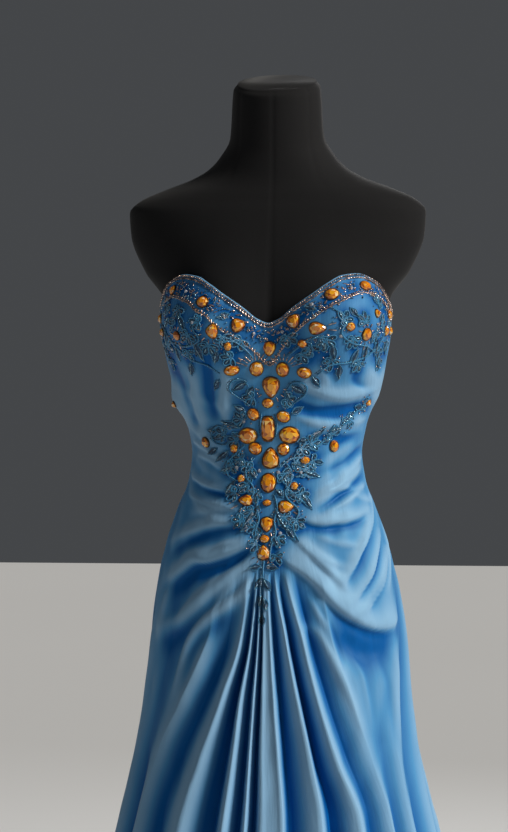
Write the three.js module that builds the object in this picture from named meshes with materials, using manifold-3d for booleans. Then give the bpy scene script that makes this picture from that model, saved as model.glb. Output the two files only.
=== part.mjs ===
// Strapless evening gown on a limbless dress form. Millimetres, +Z up.
// The origin is on the floor under the middle of the stand. The gown faces -Y and +X is the viewer's right.
// An angle on the gown is in degrees round the stand's axis: 0 at centre front, 90 at +X, 180 at the back.

import * as THREE from 'three';
import { mergeVertices } from 'three/addons/utils/BufferGeometryUtils.js';
import Module from 'manifold-3d';

const wasm = await Module();
wasm.setup();
const DEG = Math.PI / 180;

// Cloth
const WALL = 2.2;
const SEAM_GAP = 0.3;
const HEM_Z = 10;
const SIDE_SEAM = 88;
const OVAL_POWER = 2.2;
const NECK_RIM = 1.2;

// Outside of the gown without folds, from the floor up: half width at the side, depths from the axis.
const GOWN_SECTIONS = [
  { z: 0, half: 343, front: 308, back: 321 },
  { z: 300, half: 270, front: 238, back: 248 },
  { z: 562, half: 204, front: 177, back: 181 },
  { z: 666, half: 182, front: 152, back: 154 },
  { z: 749, half: 169.5, front: 134, back: 135 },
  { z: 811, half: 165, front: 121, back: 127 },
  { z: 873, half: 157, front: 113.5, back: 124 },
  { z: 936, half: 143, front: 106, back: 114 },
  { z: 977, half: 129, front: 99, back: 100 },
  { z: 1019, half: 113.5, front: 92, back: 86 },
  { z: 1050, half: 110, front: 89, back: 80 },
  { z: 1081, half: 114.5, front: 91, back: 81 },
  { z: 1123, half: 128.6, front: 97, back: 87 },
  { z: 1164, half: 140, front: 103, back: 93 },
  { z: 1208, half: 146, front: 105, back: 98 },
  { z: 1247, half: 147, front: 100, back: 100 },
  { z: 1300, half: 146, front: 90, back: 101 },
];

// Each bust cup swells the front evenly round its own middle.
const CUP = { deg: 41, z: 1218, out: 34, wideDeg: 19, tall: 50 };

// Top edge of the bodice: a sweetheart front that falls below the arms to a straight back.
const NECKLINE = [
  { deg: 0, z: 1212 },
  { deg: 7, z: 1217 },
  { deg: 16, z: 1232 },
  { deg: 26, z: 1248 },
  { deg: 35, z: 1262 },
  { deg: 44, z: 1272 },
  { deg: 54, z: 1275 },
  { deg: 66, z: 1265 },
  { deg: 76, z: 1243 },
  { deg: 88, z: 1222 },
  { deg: 110, z: 1203 },
  { deg: 145, z: 1190 },
  { deg: 180, z: 1185 },
];

// Seam between bodice and skirt: a deep V at the front, level at the back. It is straight between rows.
const YOKE_SEAM = [
  { deg: 0, z: 898 },
  { deg: 30, z: 944 },
  { deg: 60, z: 980 },
  { deg: 88, z: 1000 },
  { deg: 180, z: 1000 },
];

// Pleats and flutes of the skirt. Each row is the crest (out above 0) or valley of one fold: its angle
// at the seam and at five heights, and how far it stands out at the hem. The last row meets the first.
const FOLD_HEIGHTS = [820, 742, 672, 600, 10];
const FOLDS = [
  { name: 'back middle', seam: -180, deg: [-180, -180, -180, -180, -180], out: -20 },
  { name: 'back left 1', seam: -171, deg: [-171, -171, -171, -171, -170], out: 22 },
  { name: 'back left 2', seam: -162, deg: [-162, -162, -162, -162, -159], out: -20 },
  { name: 'back left 3', seam: -153, deg: [-152, -152, -151, -150, -149], out: 26 },
  { name: 'back left 4', seam: -143, deg: [-143, -142, -141, -140, -139], out: -24 },
  { name: 'back left 5', seam: -134, deg: [-133, -132, -131, -131, -130], out: 20 },
  { name: 'back left 6', seam: -124, deg: [-123, -122, -121, -120, -121], out: -22 },
  { name: 'back left 7', seam: -115, deg: [-114, -113, -112, -111, -111], out: 25 },
  { name: 'back left 8', seam: -106, deg: [-105, -104, -102, -101, -101], out: -20 },
  { name: 'side left 1', seam: -97, deg: [-96, -95, -93, -91, -91], out: 16 },
  { name: 'side left 2', seam: -88, deg: [-87, -86, -84, -81, -82], out: -17 },
  { name: 'side left 3', seam: -74, deg: [-72, -74, -74, -72, -74], out: 19 },
  { name: 'side left 4', seam: -60, deg: [-58, -62, -64, -63, -66], out: -18 },
  { name: 'left hip crest', seam: -30, deg: [-34, -43, -52, -55, -58], out: 22 },
  { name: 'left hip valley', seam: -19, deg: [-24, -34, -43, -48, -50], out: -20 },
  { name: 'left pleat crest', seam: -12.5, deg: [-15, -22, -28.5, -33, -41], out: 26 },
  { name: 'left deep valley', seam: -9, deg: [-12, -17.5, -20.5, -23, -32], out: -29 },
  { name: 'left fine crest 1', seam: -7, deg: [-9, -12.5, -14, -15.5, -24], out: 22 },
  { name: 'left fine valley 1', seam: -5.8, deg: [-7.2, -9.3, -10.2, -11, -18], out: -18 },
  { name: 'left fine crest 2', seam: -4.6, deg: [-5, -6, -6.6, -7, -13], out: 18 },
  { name: 'left fine valley 2', seam: -3.4, deg: [-3.4, -3.8, -4.3, -4.4, -8.5], out: -17 },
  { name: 'middle pleat left', seam: -2.2, deg: [-2, -1.8, -1.4, -0.8, -4], out: 18 },
  { name: 'middle pleat right', seam: 0, deg: [1.8, 4.2, 6.4, 8, 6], out: 20 },
  { name: 'right fine valley', seam: 2, deg: [4.6, 7.7, 9.6, 11, 12], out: -20 },
  { name: 'right pleat crest 1', seam: 4.5, deg: [10.5, 16, 20.3, 23, 22], out: 24 },
  { name: 'right deep valley', seam: 7.5, deg: [14, 20, 24.5, 29, 30], out: -28 },
  { name: 'right pleat crest 2', seam: 11, deg: [19.6, 25.5, 31.5, 38, 38.5], out: 27 },
  { name: 'right soft valley', seam: 17, deg: [25.5, 32.5, 39, 45, 46], out: -20 },
  { name: 'right hip crest', seam: 30, deg: [36, 42, 48, 52, 54], out: 20 },
  { name: 'right hip valley', seam: 60, deg: [60, 58, 56, 57, 61], out: -17 },
  { name: 'side right 1', seam: 74, deg: [72, 67, 63, 63, 68], out: 18 },
  { name: 'side right 2', seam: 88, deg: [82, 76, 71, 70, 75], out: -17 },
  { name: 'side right 3', seam: 97, deg: [93, 88, 83, 80, 83], out: 18 },
  { name: 'back right 1', seam: 106, deg: [104, 101, 98, 95, 94], out: -20 },
  { name: 'back right 2', seam: 115, deg: [114, 112, 110, 108, 106], out: 24 },
  { name: 'back right 3', seam: 125, deg: [124, 123, 122, 120, 118], out: -22 },
  { name: 'back right 4', seam: 135, deg: [134, 133, 132, 131, 129], out: 20 },
  { name: 'back right 5', seam: 145, deg: [144, 144, 143, 142, 140], out: -24 },
  { name: 'back right 6', seam: 154, deg: [154, 153, 153, 152, 151], out: 26 },
  { name: 'back right 7', seam: 163, deg: [163, 163, 163, 162, 161], out: -21 },
  { name: 'back right 8', seam: 171, deg: [171, 171, 171, 171, 170], out: 22 },
  { name: 'back middle', seam: 180, deg: [180, 180, 180, 180, 180], out: -20 },
];

// How much of its hem depth a fold has at each height.
const FOLD_GROWTH = [
  { z: 10, part: 1 },
  { z: 300, part: 0.66 },
  { z: 600, part: 0.36 },
  { z: 742, part: 0.22 },
  { z: 820, part: 0.11 },
  { z: 880, part: 0.03 },
  { z: 910, part: 0 },
];

// Largest drape folds over the midriff and hips: a curve from, by way of and to a place on the gown,
// its half width and how far it stands out.
const DRAPES = [
  { name: 'right hip swag', from: [22, 915], via: [42, 836], to: [80, 850], wide: 9, out: 7 },
  { name: 'right hip pool', from: [28, 884], via: [44, 816], to: [76, 832], wide: 9, out: -5 },
  { name: 'right hip fold', from: [25, 930], via: [39, 893], to: [56, 872], wide: 8, out: 4 },
  { name: 'right hip sweep', from: [82, 935], via: [66, 868], to: [46, 850], wide: 9, out: 3.5 },
  { name: 'right waist crease', from: [72, 1022], via: [54, 1008], to: [30, 968], wide: 8, out: 3 },
  { name: 'right hip arc', from: [82, 990], via: [68, 945], to: [44, 918], wide: 9, out: 3 },
  { name: 'left waist crease', from: [-62, 1016], via: [-40, 1002], to: [-22, 988], wide: 8, out: 4 },
  { name: 'left hip soft fold', from: [-48, 948], via: [-30, 960], to: [-13, 958], wide: 9, out: 3 },
  { name: 'left hip ridge', from: [-10, 938], via: [-28, 922], to: [-56, 906], wide: 8, out: 5 },
  { name: 'left hip groove', from: [-12, 929], via: [-34, 908], to: [-64, 890], wide: 7, out: -4 },
  { name: 'left hip swag', from: [-9, 918], via: [-28, 890], to: [-62, 824], wide: 9, out: 6 },
];

// Dress form: a closed body with a flat underside and a slanted neck, which carries the gown at its
// waist. A ring leans by its lean times y.
const FORM_SECTIONS = [
  { z: 738, half: 140, front: 96, back: 100, power: 2.2, lean: 0 },
  { z: 744, half: 148, front: 104, back: 108, power: 2.2, lean: 0 },
  { z: 811, half: 155, front: 108, back: 115, power: 2.2, lean: 0 },
  { z: 873, half: 149, front: 103, back: 116, power: 2.2, lean: 0 },
  { z: 936, half: 135, front: 97, back: 106, power: 2.2, lean: 0 },
  { z: 977, half: 121, front: 90, back: 92, power: 2.2, lean: 0 },
  { z: 1019, half: 107.5, front: 86, back: 80, power: 2.2, lean: 0 },
  { z: 1050, half: 107.3, front: 86.3, back: 77.3, power: 2.2, lean: 0 },
  { z: 1081, half: 108.5, front: 85, back: 75.5, power: 2.2, lean: 0 },
  { z: 1123, half: 121, front: 88, back: 79, power: 2.2, lean: 0 },
  { z: 1164, half: 132.5, front: 94, back: 85, power: 2.2, lean: 0 },
  { z: 1205, half: 138, front: 96, back: 90, power: 2.2, lean: 0 },
  { z: 1228, half: 140, front: 94, back: 92, power: 2, lean: 0 },
  { z: 1252, half: 148, front: 90, back: 94, power: 1.85, lean: 0 },
  { z: 1284, half: 172, front: 84, back: 95, power: 1.85, lean: 0 },
  { z: 1332, half: 191.5, front: 74, back: 92, power: 2, lean: 0 },
  { z: 1362, half: 193.5, front: 67, back: 86, power: 2.1, lean: 0.04 },
  { z: 1377, half: 180, front: 63, back: 80, power: 2.1, lean: 0.1 },
  { z: 1391, half: 149, front: 60, back: 74, power: 2.1, lean: 0.16 },
  { z: 1404, half: 113, front: 57, back: 68, power: 2.1, lean: 0.22 },
  { z: 1417, half: 90, front: 55, back: 63, power: 2.1, lean: 0.26 },
  { z: 1433, half: 75, front: 54, back: 59, power: 2.1, lean: 0.3 },
  { z: 1459, half: 61, front: 53, back: 55, power: 2.1, lean: 0.33 },
  { z: 1522, half: 56.5, front: 53, back: 54, power: 2.1, lean: 0.344 },
  { z: 1530, half: 51, front: 48, back: 49, power: 2.1, lean: 0.344 },
];
const FORM_CUP = { ...CUP, out: 29 };
const FORM_SIDES = 32;

// Stand
const BASE = { radius: 190, high: 20, edge: 5 };
const POLE_RADIUS = 14;
const SOCKET = { radius: 32, high: 30 };

// Zip at the centre back
const ZIP = { wide: 4.4, low: 900, thick: 1.6 };
const SLIDER = { wide: 8, high: 12, thick: 2.4, below: 10 };
const BRIDGE = { wide: 2, high: 5.6, rise: 3.4, wall: 1 };
const PULL = { wide: 6, long: 22, thick: 1.2, bar: 1.2, slot: 3, slotLong: 4 };
const PULL_POINTS = 8;

// Raised stones of the bodice: place on the gown, width, height, turn in degrees and outline.
const STONES = [
  { deg: -57.4, z: 1257, wide: 10, high: 13, turn: 0, cut: 'oval' },
  { deg: -34.8, z: 1240, wide: 14, high: 14, turn: 0, cut: 'oval' },
  { deg: -17.5, z: 1211, wide: 16, high: 16, turn: 35, cut: 'pear' },
  { deg: 0.5, z: 1181, wide: 15, high: 18, turn: 180, cut: 'pear' },
  { deg: 15.6, z: 1216, wide: 16, high: 17, turn: -35, cut: 'pear' },
  { deg: 35.1, z: 1249, wide: 17, high: 14, turn: 20, cut: 'oval' },
  { deg: 55.6, z: 1261, wide: 18, high: 13, turn: 0, cut: 'oval' },
  { deg: 76, z: 1226, wide: 11, high: 14, turn: 0, cut: 'oval' },
  { deg: 71, z: 1205, wide: 10, high: 13, turn: 0, cut: 'oval' },
  { deg: -72, z: 1222, wide: 10, high: 13, turn: 0, cut: 'oval' },
  { deg: -48.2, z: 1198, wide: 11, high: 12, turn: 0, cut: 'oval' },
  { deg: -29.4, z: 1203, wide: 17, high: 14, turn: 90, cut: 'pear' },
  { deg: 27.2, z: 1206, wide: 15, high: 20, turn: -90, cut: 'pear' },
  { deg: 41.9, z: 1208, wide: 11, high: 11, turn: 0, cut: 'oval' },
  { deg: 51.7, z: 1199, wide: 15, high: 15, turn: 0, cut: 'oval' },
  { deg: -8, z: 1156, wide: 16, high: 17, turn: 0, cut: 'oval' },
  { deg: 9.5, z: 1155, wide: 15, high: 18, turn: 0, cut: 'oval' },
  { deg: -23, z: 1154, wide: 18, high: 12, turn: 10, cut: 'oval' },
  { deg: 22.9, z: 1151, wide: 17, high: 14, turn: -10, cut: 'oval' },
  { deg: 1.6, z: 1133, wide: 19, high: 25, turn: 180, cut: 'pear' },
  { deg: -1, z: 1113, wide: 13, high: 11, turn: 0, cut: 'oval' },
  { deg: -12.2, z: 1099, wide: 14, high: 15, turn: 30, cut: 'oval' },
  { deg: 10.7, z: 1096, wide: 17, high: 14, turn: -20, cut: 'oval' },
  { deg: -1.3, z: 1081, wide: 16, high: 29, turn: 0, cut: 'oblong' },
  { deg: -17.2, z: 1072, wide: 22, high: 19, turn: 0, cut: 'oval' },
  { deg: 15.5, z: 1073, wide: 23, high: 20, turn: 0, cut: 'oval' },
  { deg: -11.7, z: 1056, wide: 16, high: 14, turn: -30, cut: 'oval' },
  { deg: 11, z: 1055, wide: 15, high: 14, turn: 30, cut: 'oval' },
  { deg: 0.7, z: 1044, wide: 19, high: 25, turn: 0, cut: 'pear' },
  { deg: -52.6, z: 1063, wide: 13, high: 14, turn: 0, cut: 'oval' },
  { deg: 50, z: 1059, wide: 13, high: 13, turn: 0, cut: 'oval' },
  { deg: -0.9, z: 1013, wide: 18, high: 23, turn: 0, cut: 'oval' },
  { deg: -17.4, z: 991, wide: 14, high: 17, turn: 90, cut: 'pear' },
  { deg: 12.3, z: 983, wide: 14, high: 18, turn: -90, cut: 'pear' },
  { deg: -1.3, z: 961, wide: 15, high: 18, turn: 180, cut: 'pear' },
  { deg: -3.2, z: 926, wide: 14, high: 18, turn: 0, cut: 'pear' },
];
const STONE_LIFT = 4;

// Corded leaves, each pointing from its root by its turn (0 is up, 90 to the viewer's left).
const BODICE_LEAVES = [
  { deg: -44, z: 1214, long: 24, turn: 205 },
  { deg: -60, z: 1196, long: 24, turn: 165 },
  { deg: -38, z: 1178, long: 26, turn: 190 },
  { deg: -20, z: 1134, long: 24, turn: 120 },
  { deg: 20, z: 1130, long: 24, turn: -120 },
  { deg: 36, z: 1176, long: 26, turn: -160 },
  { deg: 48, z: 1170, long: 24, turn: 170 },
  { deg: 62, z: 1184, long: 24, turn: -165 },
  { deg: -30, z: 1086, long: 26, turn: 70 },
  { deg: -40, z: 1070, long: 24, turn: 100 },
  { deg: -38, z: 1046, long: 24, turn: 130 },
  { deg: 36, z: 1074, long: 24, turn: -50 },
  { deg: 56, z: 1092, long: 22, turn: -60 },
  { deg: 32, z: 1024, long: 24, turn: -110 },
  { deg: -30, z: 1006, long: 24, turn: 150 },
  { deg: 27, z: 990, long: 24, turn: -150 },
  { deg: -14, z: 968, long: 22, turn: 150 },
  { deg: 10, z: 962, long: 22, turn: -150 },
];
const TAIL_LEAVES = [
  { deg: -3.5, z: 888, long: 20, turn: 172 },
  { deg: -1, z: 872, long: 18, turn: 190 },
  { deg: -2.4, z: 852, long: 20, turn: 178 },
];
const LEAF = { wide: 8, lift: 2.4 };
const ROOT_DEPTH = 1.2;

// Grid of the cloth
const BODICE_ROWS = 17;
const BODICE_FRONT_DEG = [
  -88, -82, -76, -71, -66, -60, -54, -49, -44, -39, -34.5, -30, -24, -18, -12, -6, 0,
  6, 12, 18, 24, 30, 34.5, 39, 44, 49, 54, 60, 66, 71, 76, 82, 88,
];
const BODICE_BACK_STEPS = 14;
const SKIRT_ROWS = 16;
const ROW_CROWDING = 1.35;
const STEPS_PER_FOLD = 2;

// Colours
const MATERIALS = {
  satin: new THREE.MeshStandardMaterial({ color: 0x5f96bc, roughness: 0.5, side: THREE.DoubleSide }),
  form: new THREE.MeshStandardMaterial({ color: 0x111113, roughness: 0.9 }),
  stand: new THREE.MeshStandardMaterial({ color: 0x1b1c1e, roughness: 0.45, metalness: 0.6 }),
  zip: new THREE.MeshStandardMaterial({ color: 0x4d86b2, roughness: 0.6 }),
  metal: new THREE.MeshStandardMaterial({ color: 0x7f9db4, roughness: 0.35, metalness: 0.8 }),
};

// Smooth curve through one column of a table, read at a place along another column.
function readTable(rows, key, at, name) {
  const last = rows.length - 1;
  const value = (i) => rows[i][name];
  if (at <= rows[0][key]) return value(0);
  if (at >= rows[last][key]) return value(last);
  const i = rows.findIndex((row) => row[key] > at) - 1;
  const slope = (a, b) => (value(b) - value(a)) / (rows[b][key] - rows[a][key]);
  const tangent = (j) => {
    if (j === 0 || j === last) return 0;
    const before = slope(j - 1, j);
    const after = slope(j, j + 1);
    return before * after <= 0 ? 0 : (2 * before * after) / (before + after);
  };
  const span = rows[i + 1][key] - rows[i][key];
  const t = (at - rows[i][key]) / span;
  const first = tangent(i) * span;
  const second = tangent(i + 1) * span;
  const ease = t * t * (3 - 2 * t);
  return value(i) * (1 - ease) + value(i + 1) * ease + first * t * (1 - t) ** 2 - second * t * t * (1 - t);
}

// The same, with straight lines between the rows.
function readStraight(rows, key, at, name) {
  const i = Math.max(rows.findIndex((row) => row[key] >= at), 1);
  const t = (at - rows[i - 1][key]) / (rows[i][key] - rows[i - 1][key]);
  return THREE.MathUtils.lerp(rows[i - 1][name], rows[i][name], t);
}

function neckHeight(deg) {
  return readTable(NECKLINE, 'deg', Math.abs(deg), 'z');
}

function seamHeight(deg) {
  return readStraight(YOKE_SEAM, 'deg', Math.abs(deg), 'z');
}

function ovalRadius(deg, half, depth, power) {
  const across = Math.abs(Math.sin(deg * DEG)) / half;
  const along = Math.abs(Math.cos(deg * DEG)) / depth;
  return (across ** power + along ** power) ** (-1 / power);
}

function cupSwell(cup, deg, z) {
  const across = (Math.abs(deg) - cup.deg) / cup.wideDeg;
  const along = (z - cup.z) / cup.tall;
  return cup.out * Math.exp(-0.5 * (across * across + along * along));
}

function gownRadius(deg, z) {
  const depth = Math.abs(deg) < 90 ? 'front' : 'back';
  const half = readTable(GOWN_SECTIONS, 'z', z, 'half');
  const deep = readTable(GOWN_SECTIONS, 'z', z, depth);
  return ovalRadius(deg, half, deep, OVAL_POWER) + cupSwell(CUP, deg, z);
}

// How far the drape folds stand out at a place on the gown.
const drapeLines = DRAPES.map((drape) => {
  const place = ([deg, z]) => new THREE.Vector2(deg * DEG * gownRadius(deg, z), z);
  const curve = new THREE.QuadraticBezierCurve(place(drape.from), place(drape.via), place(drape.to));
  return { ...drape, points: curve.getPoints(16) };
});

function drapeOut(deg, z) {
  const here = new THREE.Vector2(deg * DEG * gownRadius(deg, z), z);
  let out = 0;
  for (const { points, wide, out: height } of drapeLines) {
    let best = { distance: Infinity, along: 0 };
    points.forEach((point, i) => {
      const distance = point.distanceTo(here);
      if (distance < best.distance) best = { distance, along: i / (points.length - 1) };
    });
    const taper = Math.sin(Math.PI * THREE.MathUtils.clamp(best.along, 0.08, 0.92));
    out += height * taper * Math.exp(-0.5 * (best.distance / wide) ** 2);
  }
  return out;
}

// Angle of a fold at a height, from its places between the seam and the hem.
function foldAngle(fold, z) {
  const rows = FOLD_HEIGHTS.map((height, i) => ({ height, deg: fold.deg[i] })).reverse();
  rows.push({ height: seamHeight(fold.seam), deg: fold.seam });
  return readTable(rows, 'height', z, 'deg');
}

function foldGrowth(z) {
  return readTable(FOLD_GROWTH, 'z', z, 'part');
}

function pointAt(deg, z, radius) {
  return new THREE.Vector3(radius * Math.sin(deg * DEG), -radius * Math.cos(deg * DEG), z);
}

function clothPoint(deg, z, out) {
  return pointAt(deg, z, gownRadius(deg, z) + drapeOut(deg, z) + out);
}

// Closed solid from a mesh with open or doubled corners.
function solidFrom(positions, triangles) {
  let geometry = new THREE.BufferGeometry();
  geometry.setAttribute('position', new THREE.Float32BufferAttribute(positions, 3));
  geometry.setIndex(triangles);
  geometry = mergeVertices(geometry, 1e-4);
  const mesh = new wasm.Mesh({
    numProp: 3,
    vertProperties: new Float32Array(geometry.attributes.position.array),
    triVerts: new Uint32Array(geometry.index.array),
  });
  return new wasm.Manifold(mesh);
}

function solidFromGeometry(source) {
  const geometry = source.index ? source.toNonIndexed() : source;
  const positions = Array.from(geometry.attributes.position.array);
  return solidFrom(positions, positions.slice(0, positions.length / 3).map((_, i) => i));
}

function geometryFrom(solid) {
  const mesh = solid.getMesh();
  const geometry = new THREE.BufferGeometry();
  geometry.setAttribute('position', new THREE.BufferAttribute(new Float32Array(mesh.vertProperties), 3));
  geometry.setIndex(new THREE.BufferAttribute(new Uint32Array(mesh.triVerts), 1));
  return geometry;
}

// Wall of cloth between an outer and an inner grid of points, each outer[row][column], rows from the top
// down and columns towards +X as seen from the front.
function wallSolid(outer, inner) {
  const rows = outer.length;
  const columns = outer[0].length;
  const positions = [...outer.flat(), ...inner.flat()].flatMap((point) => [point.x, point.y, point.z]);
  const out = (row, column) => row * columns + column;
  const inn = (row, column) => rows * columns + row * columns + column;
  const triangles = [];
  const quad = (a, b, c, d) => triangles.push(a, b, c, a, c, d);
  for (let row = 0; row < rows - 1; row += 1) {
    for (let column = 0; column < columns - 1; column += 1) {
      const [down, right] = [row + 1, column + 1];
      quad(out(row, column), out(down, column), out(down, right), out(row, right));
      quad(inn(row, column), inn(row, right), inn(down, right), inn(down, column));
    }
    quad(out(row, 0), inn(row, 0), inn(row + 1, 0), out(row + 1, 0));
    const end = columns - 1;
    quad(out(row, end), out(row + 1, end), inn(row + 1, end), inn(row, end));
  }
  for (let column = 0; column < columns - 1; column += 1) {
    const bottom = rows - 1;
    quad(out(0, column), out(0, column + 1), inn(0, column + 1), inn(0, column));
    quad(out(bottom, column), inn(bottom, column), inn(bottom, column + 1), out(bottom, column + 1));
  }
  return solidFrom(positions, triangles);
}

// Angle that a seam allowance, or half the zip, takes up at a place on the gown.
function gapDegrees(deg, z, gap) {
  return gap / gownRadius(deg, z) / DEG;
}

function centreBackGap(z) {
  return z > ZIP.low - 30 ? ZIP.wide / 2 + SEAM_GAP : SEAM_GAP / 2;
}

// One bodice piece between two angles, with or without the raised rim along its top edge.
function bodiceWall(angles, rimOut) {
  const grids = [[], []];
  for (let row = 0; row <= BODICE_ROWS; row += 1) {
    const down = row / BODICE_ROWS;
    const points = angles.map((deg, column) => {
      const z = THREE.MathUtils.lerp(neckHeight(deg), seamHeight(deg) + SEAM_GAP * 0.6, down);
      const atEnd = { 0: 1, [angles.length - 1]: -1 }[column] ?? 0;
      const gap = Math.abs(deg) > 179 ? centreBackGap(z) : SEAM_GAP / 2;
      const angle = deg + atEnd * gapDegrees(deg, z, gap);
      const rim = row <= 1 ? rimOut : 0;
      return [clothPoint(angle, z, rim), clothPoint(angle, z, -WALL)];
    });
    grids[0].push(points.map(([outside]) => outside));
    grids[1].push(points.map(([, inside]) => inside));
  }
  return wallSolid(grids[0], grids[1]);
}

// One skirt piece between two folds of the table.
function skirtWall(first, last) {
  const grids = [[], []];
  const start = FOLDS.findIndex((fold) => fold.name === first);
  const end = FOLDS.findLastIndex((fold) => fold.name === last);
  const columns = (end - start) * STEPS_PER_FOLD;
  for (let row = 0; row <= SKIRT_ROWS; row += 1) {
    const down = (row / SKIRT_ROWS) ** ROW_CROWDING;
    const outside = [];
    const inside = [];
    for (let column = 0; column <= columns; column += 1) {
      const place = Math.min(start + column / STEPS_PER_FOLD, end - 1e-9);
      const fold = FOLDS[Math.floor(place)];
      const next = FOLDS[Math.floor(place) + 1];
      const t = place - Math.floor(place);
      const seamDeg = THREE.MathUtils.lerp(fold.seam, next.seam, t);
      const z = THREE.MathUtils.lerp(seamHeight(seamDeg) - SEAM_GAP * 0.6, HEM_Z, down);
      const deg = THREE.MathUtils.lerp(foldAngle(fold, z), foldAngle(next, z), t);
      const ease = t * t * (3 - 2 * t);
      const out = foldGrowth(z) * THREE.MathUtils.lerp(fold.out, next.out, ease);
      const atEnd = { 0: 1, [columns]: -1 }[column] ?? 0;
      const gap = Math.abs(deg) > 179 ? centreBackGap(z) : SEAM_GAP / 2;
      const angle = deg + atEnd * gapDegrees(deg, z, gap);
      outside.push(clothPoint(angle, z, out));
      inside.push(clothPoint(angle, z, out - WALL));
    }
    grids[0].push(outside);
    grids[1].push(inside);
  }
  return wallSolid(grids[0], grids[1]);
}

// Outlines of what is sewn on, as points round a unit circle, the tip at the top.
const OUTLINES = {
  oval: (turn) => [Math.sin(turn), Math.cos(turn)],
  oblong: (turn) => [Math.sign(Math.sin(turn)) * Math.abs(Math.sin(turn)) ** 0.5, Math.cos(turn)],
  pear: (turn) => [Math.sin(turn) * (1 - 0.35 * Math.cos(turn)), Math.cos(turn)],
  leaf: (turn) => [Math.sin(turn) ** 3 * (1 - 0.2 * Math.cos(turn)), Math.cos(turn)],
};

// Solid raised from the cloth: its outline, its girdle and a smaller top follow the points of the wall.
function raisedSolid({ deg, z, wide, high, turn, cut }, lift, topScale, sides) {
  const radius = gownRadius(deg, z);
  const sin = Math.sin(turn * DEG);
  const cos = Math.cos(turn * DEG);
  const ring = (scaleWide, scaleHigh, out) => Array.from({ length: sides }, (_, i) => {
    const [u, v] = OUTLINES[cut]((2 * Math.PI * i) / sides);
    const [across, up] = [(u * wide * scaleWide) / 2, (v * high * scaleHigh) / 2];
    const right = across * cos - up * sin;
    const rise = across * sin + up * cos;
    return clothPoint(deg + right / radius / DEG, z + rise, out);
  });
  const rings = [ring(1, 1, -ROOT_DEPTH), ring(1, 1, lift * 0.4), ring(topScale.wide, topScale.high, lift)];
  const positions = rings.flat().flatMap((point) => [point.x, point.y, point.z]);
  const triangles = [];
  for (let i = 0; i < sides; i += 1) {
    const next = (i + 1) % sides;
    for (const low of [0, sides]) {
      const above = low + sides;
      triangles.push(low + i, above + i, above + next, low + i, above + next, low + next);
    }
    if (i > 0 && next > 0) {
      triangles.push(0, i, next, 2 * sides, 2 * sides + next, 2 * sides + i);
    }
  }
  return solidFrom(positions, triangles);
}

function stoneSolid(stone) {
  const sides = Math.max(stone.wide, stone.high) > 16 ? 8 : 6;
  return raisedSolid(stone, STONE_LIFT, { wide: 0.55, high: 0.55 }, sides);
}

function leafSolid(leaf) {
  const shape = { ...leaf, wide: LEAF.wide, high: leaf.long, cut: 'leaf' };
  return raisedSolid(shape, LEAF.lift, { wide: 0.3, high: 0.7 }, 6);
}

// Dress form: rings of the torso, shoulders and neck, closed at both ends.
function formSolid() {
  const positions = [];
  const triangles = [];
  for (const { z, half, front, back, power, lean } of FORM_SECTIONS) {
    for (let i = 0; i < FORM_SIDES; i += 1) {
      const deg = -180 + (360 * i) / FORM_SIDES;
      const depth = Math.abs(deg) < 90 ? front : back;
      const point = pointAt(deg, z, ovalRadius(deg, half, depth, power) + cupSwell(FORM_CUP, deg, z));
      positions.push(point.x, point.y, point.z + lean * point.y);
    }
  }
  const top = FORM_SECTIONS.length - 1;
  for (let i = 0; i < FORM_SIDES; i += 1) {
    const next = (i + 1) % FORM_SIDES;
    for (let level = 0; level < top; level += 1) {
      const [low, high] = [level * FORM_SIDES, (level + 1) * FORM_SIDES];
      triangles.push(low + i, low + next, high + next, low + i, high + next, high + i);
    }
    if (i > 0 && next > 0) {
      const last = top * FORM_SIDES;
      triangles.push(0, next, i, last, last + i, last + next);
    }
  }
  return solidFrom(positions, triangles);
}

// Stand: a heavy round base with a socket, and the pole that carries the form.
function standBase() {
  const { radius, high, edge } = BASE;
  const profile = [
    [0, 0],
    [radius, 0],
    [radius, high - edge],
    [radius - edge, high],
    [SOCKET.radius, high],
    [SOCKET.radius - edge, high + SOCKET.high],
    [POLE_RADIUS + SEAM_GAP, high + SOCKET.high],
    [POLE_RADIUS + SEAM_GAP, high],
    [0, high],
  ].map(([x, y]) => new THREE.Vector2(x, y));
  return new THREE.LatheGeometry(profile, 32).rotateX(Math.PI / 2);
}

function standPole() {
  const low = BASE.high + SEAM_GAP;
  const high = FORM_SECTIONS[0].z - SEAM_GAP;
  return new THREE.CylinderGeometry(POLE_RADIUS, POLE_RADIUS, high - low, 20)
    .rotateX(Math.PI / 2)
    .translate(0, 0, (low + high) / 2);
}

// Zip strip that fills the centre back opening.
function zipWall() {
  const grids = [[], []];
  const top = neckHeight(180) - 2;
  for (let row = 0; row <= BODICE_ROWS; row += 1) {
    const z = THREE.MathUtils.lerp(top, ZIP.low, row / BODICE_ROWS);
    const angles = [-1, 1].map((side) => 180 + side * gapDegrees(180, z, ZIP.wide / 2));
    grids[0].push(angles.map((deg) => pointAt(deg, z, gownRadius(180, z))));
    grids[1].push(angles.map((deg) => pointAt(deg, z, gownRadius(180, z) - ZIP.thick)));
  }
  return wallSolid(grids[0], grids[1]);
}

// Slider body with its bridge, its back at y = 0 and the pull's hinge at z = 0.
const HINGE_OUT = SLIDER.thick + BRIDGE.rise - BRIDGE.wall - PULL.bar / 2 - 0.5;

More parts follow.
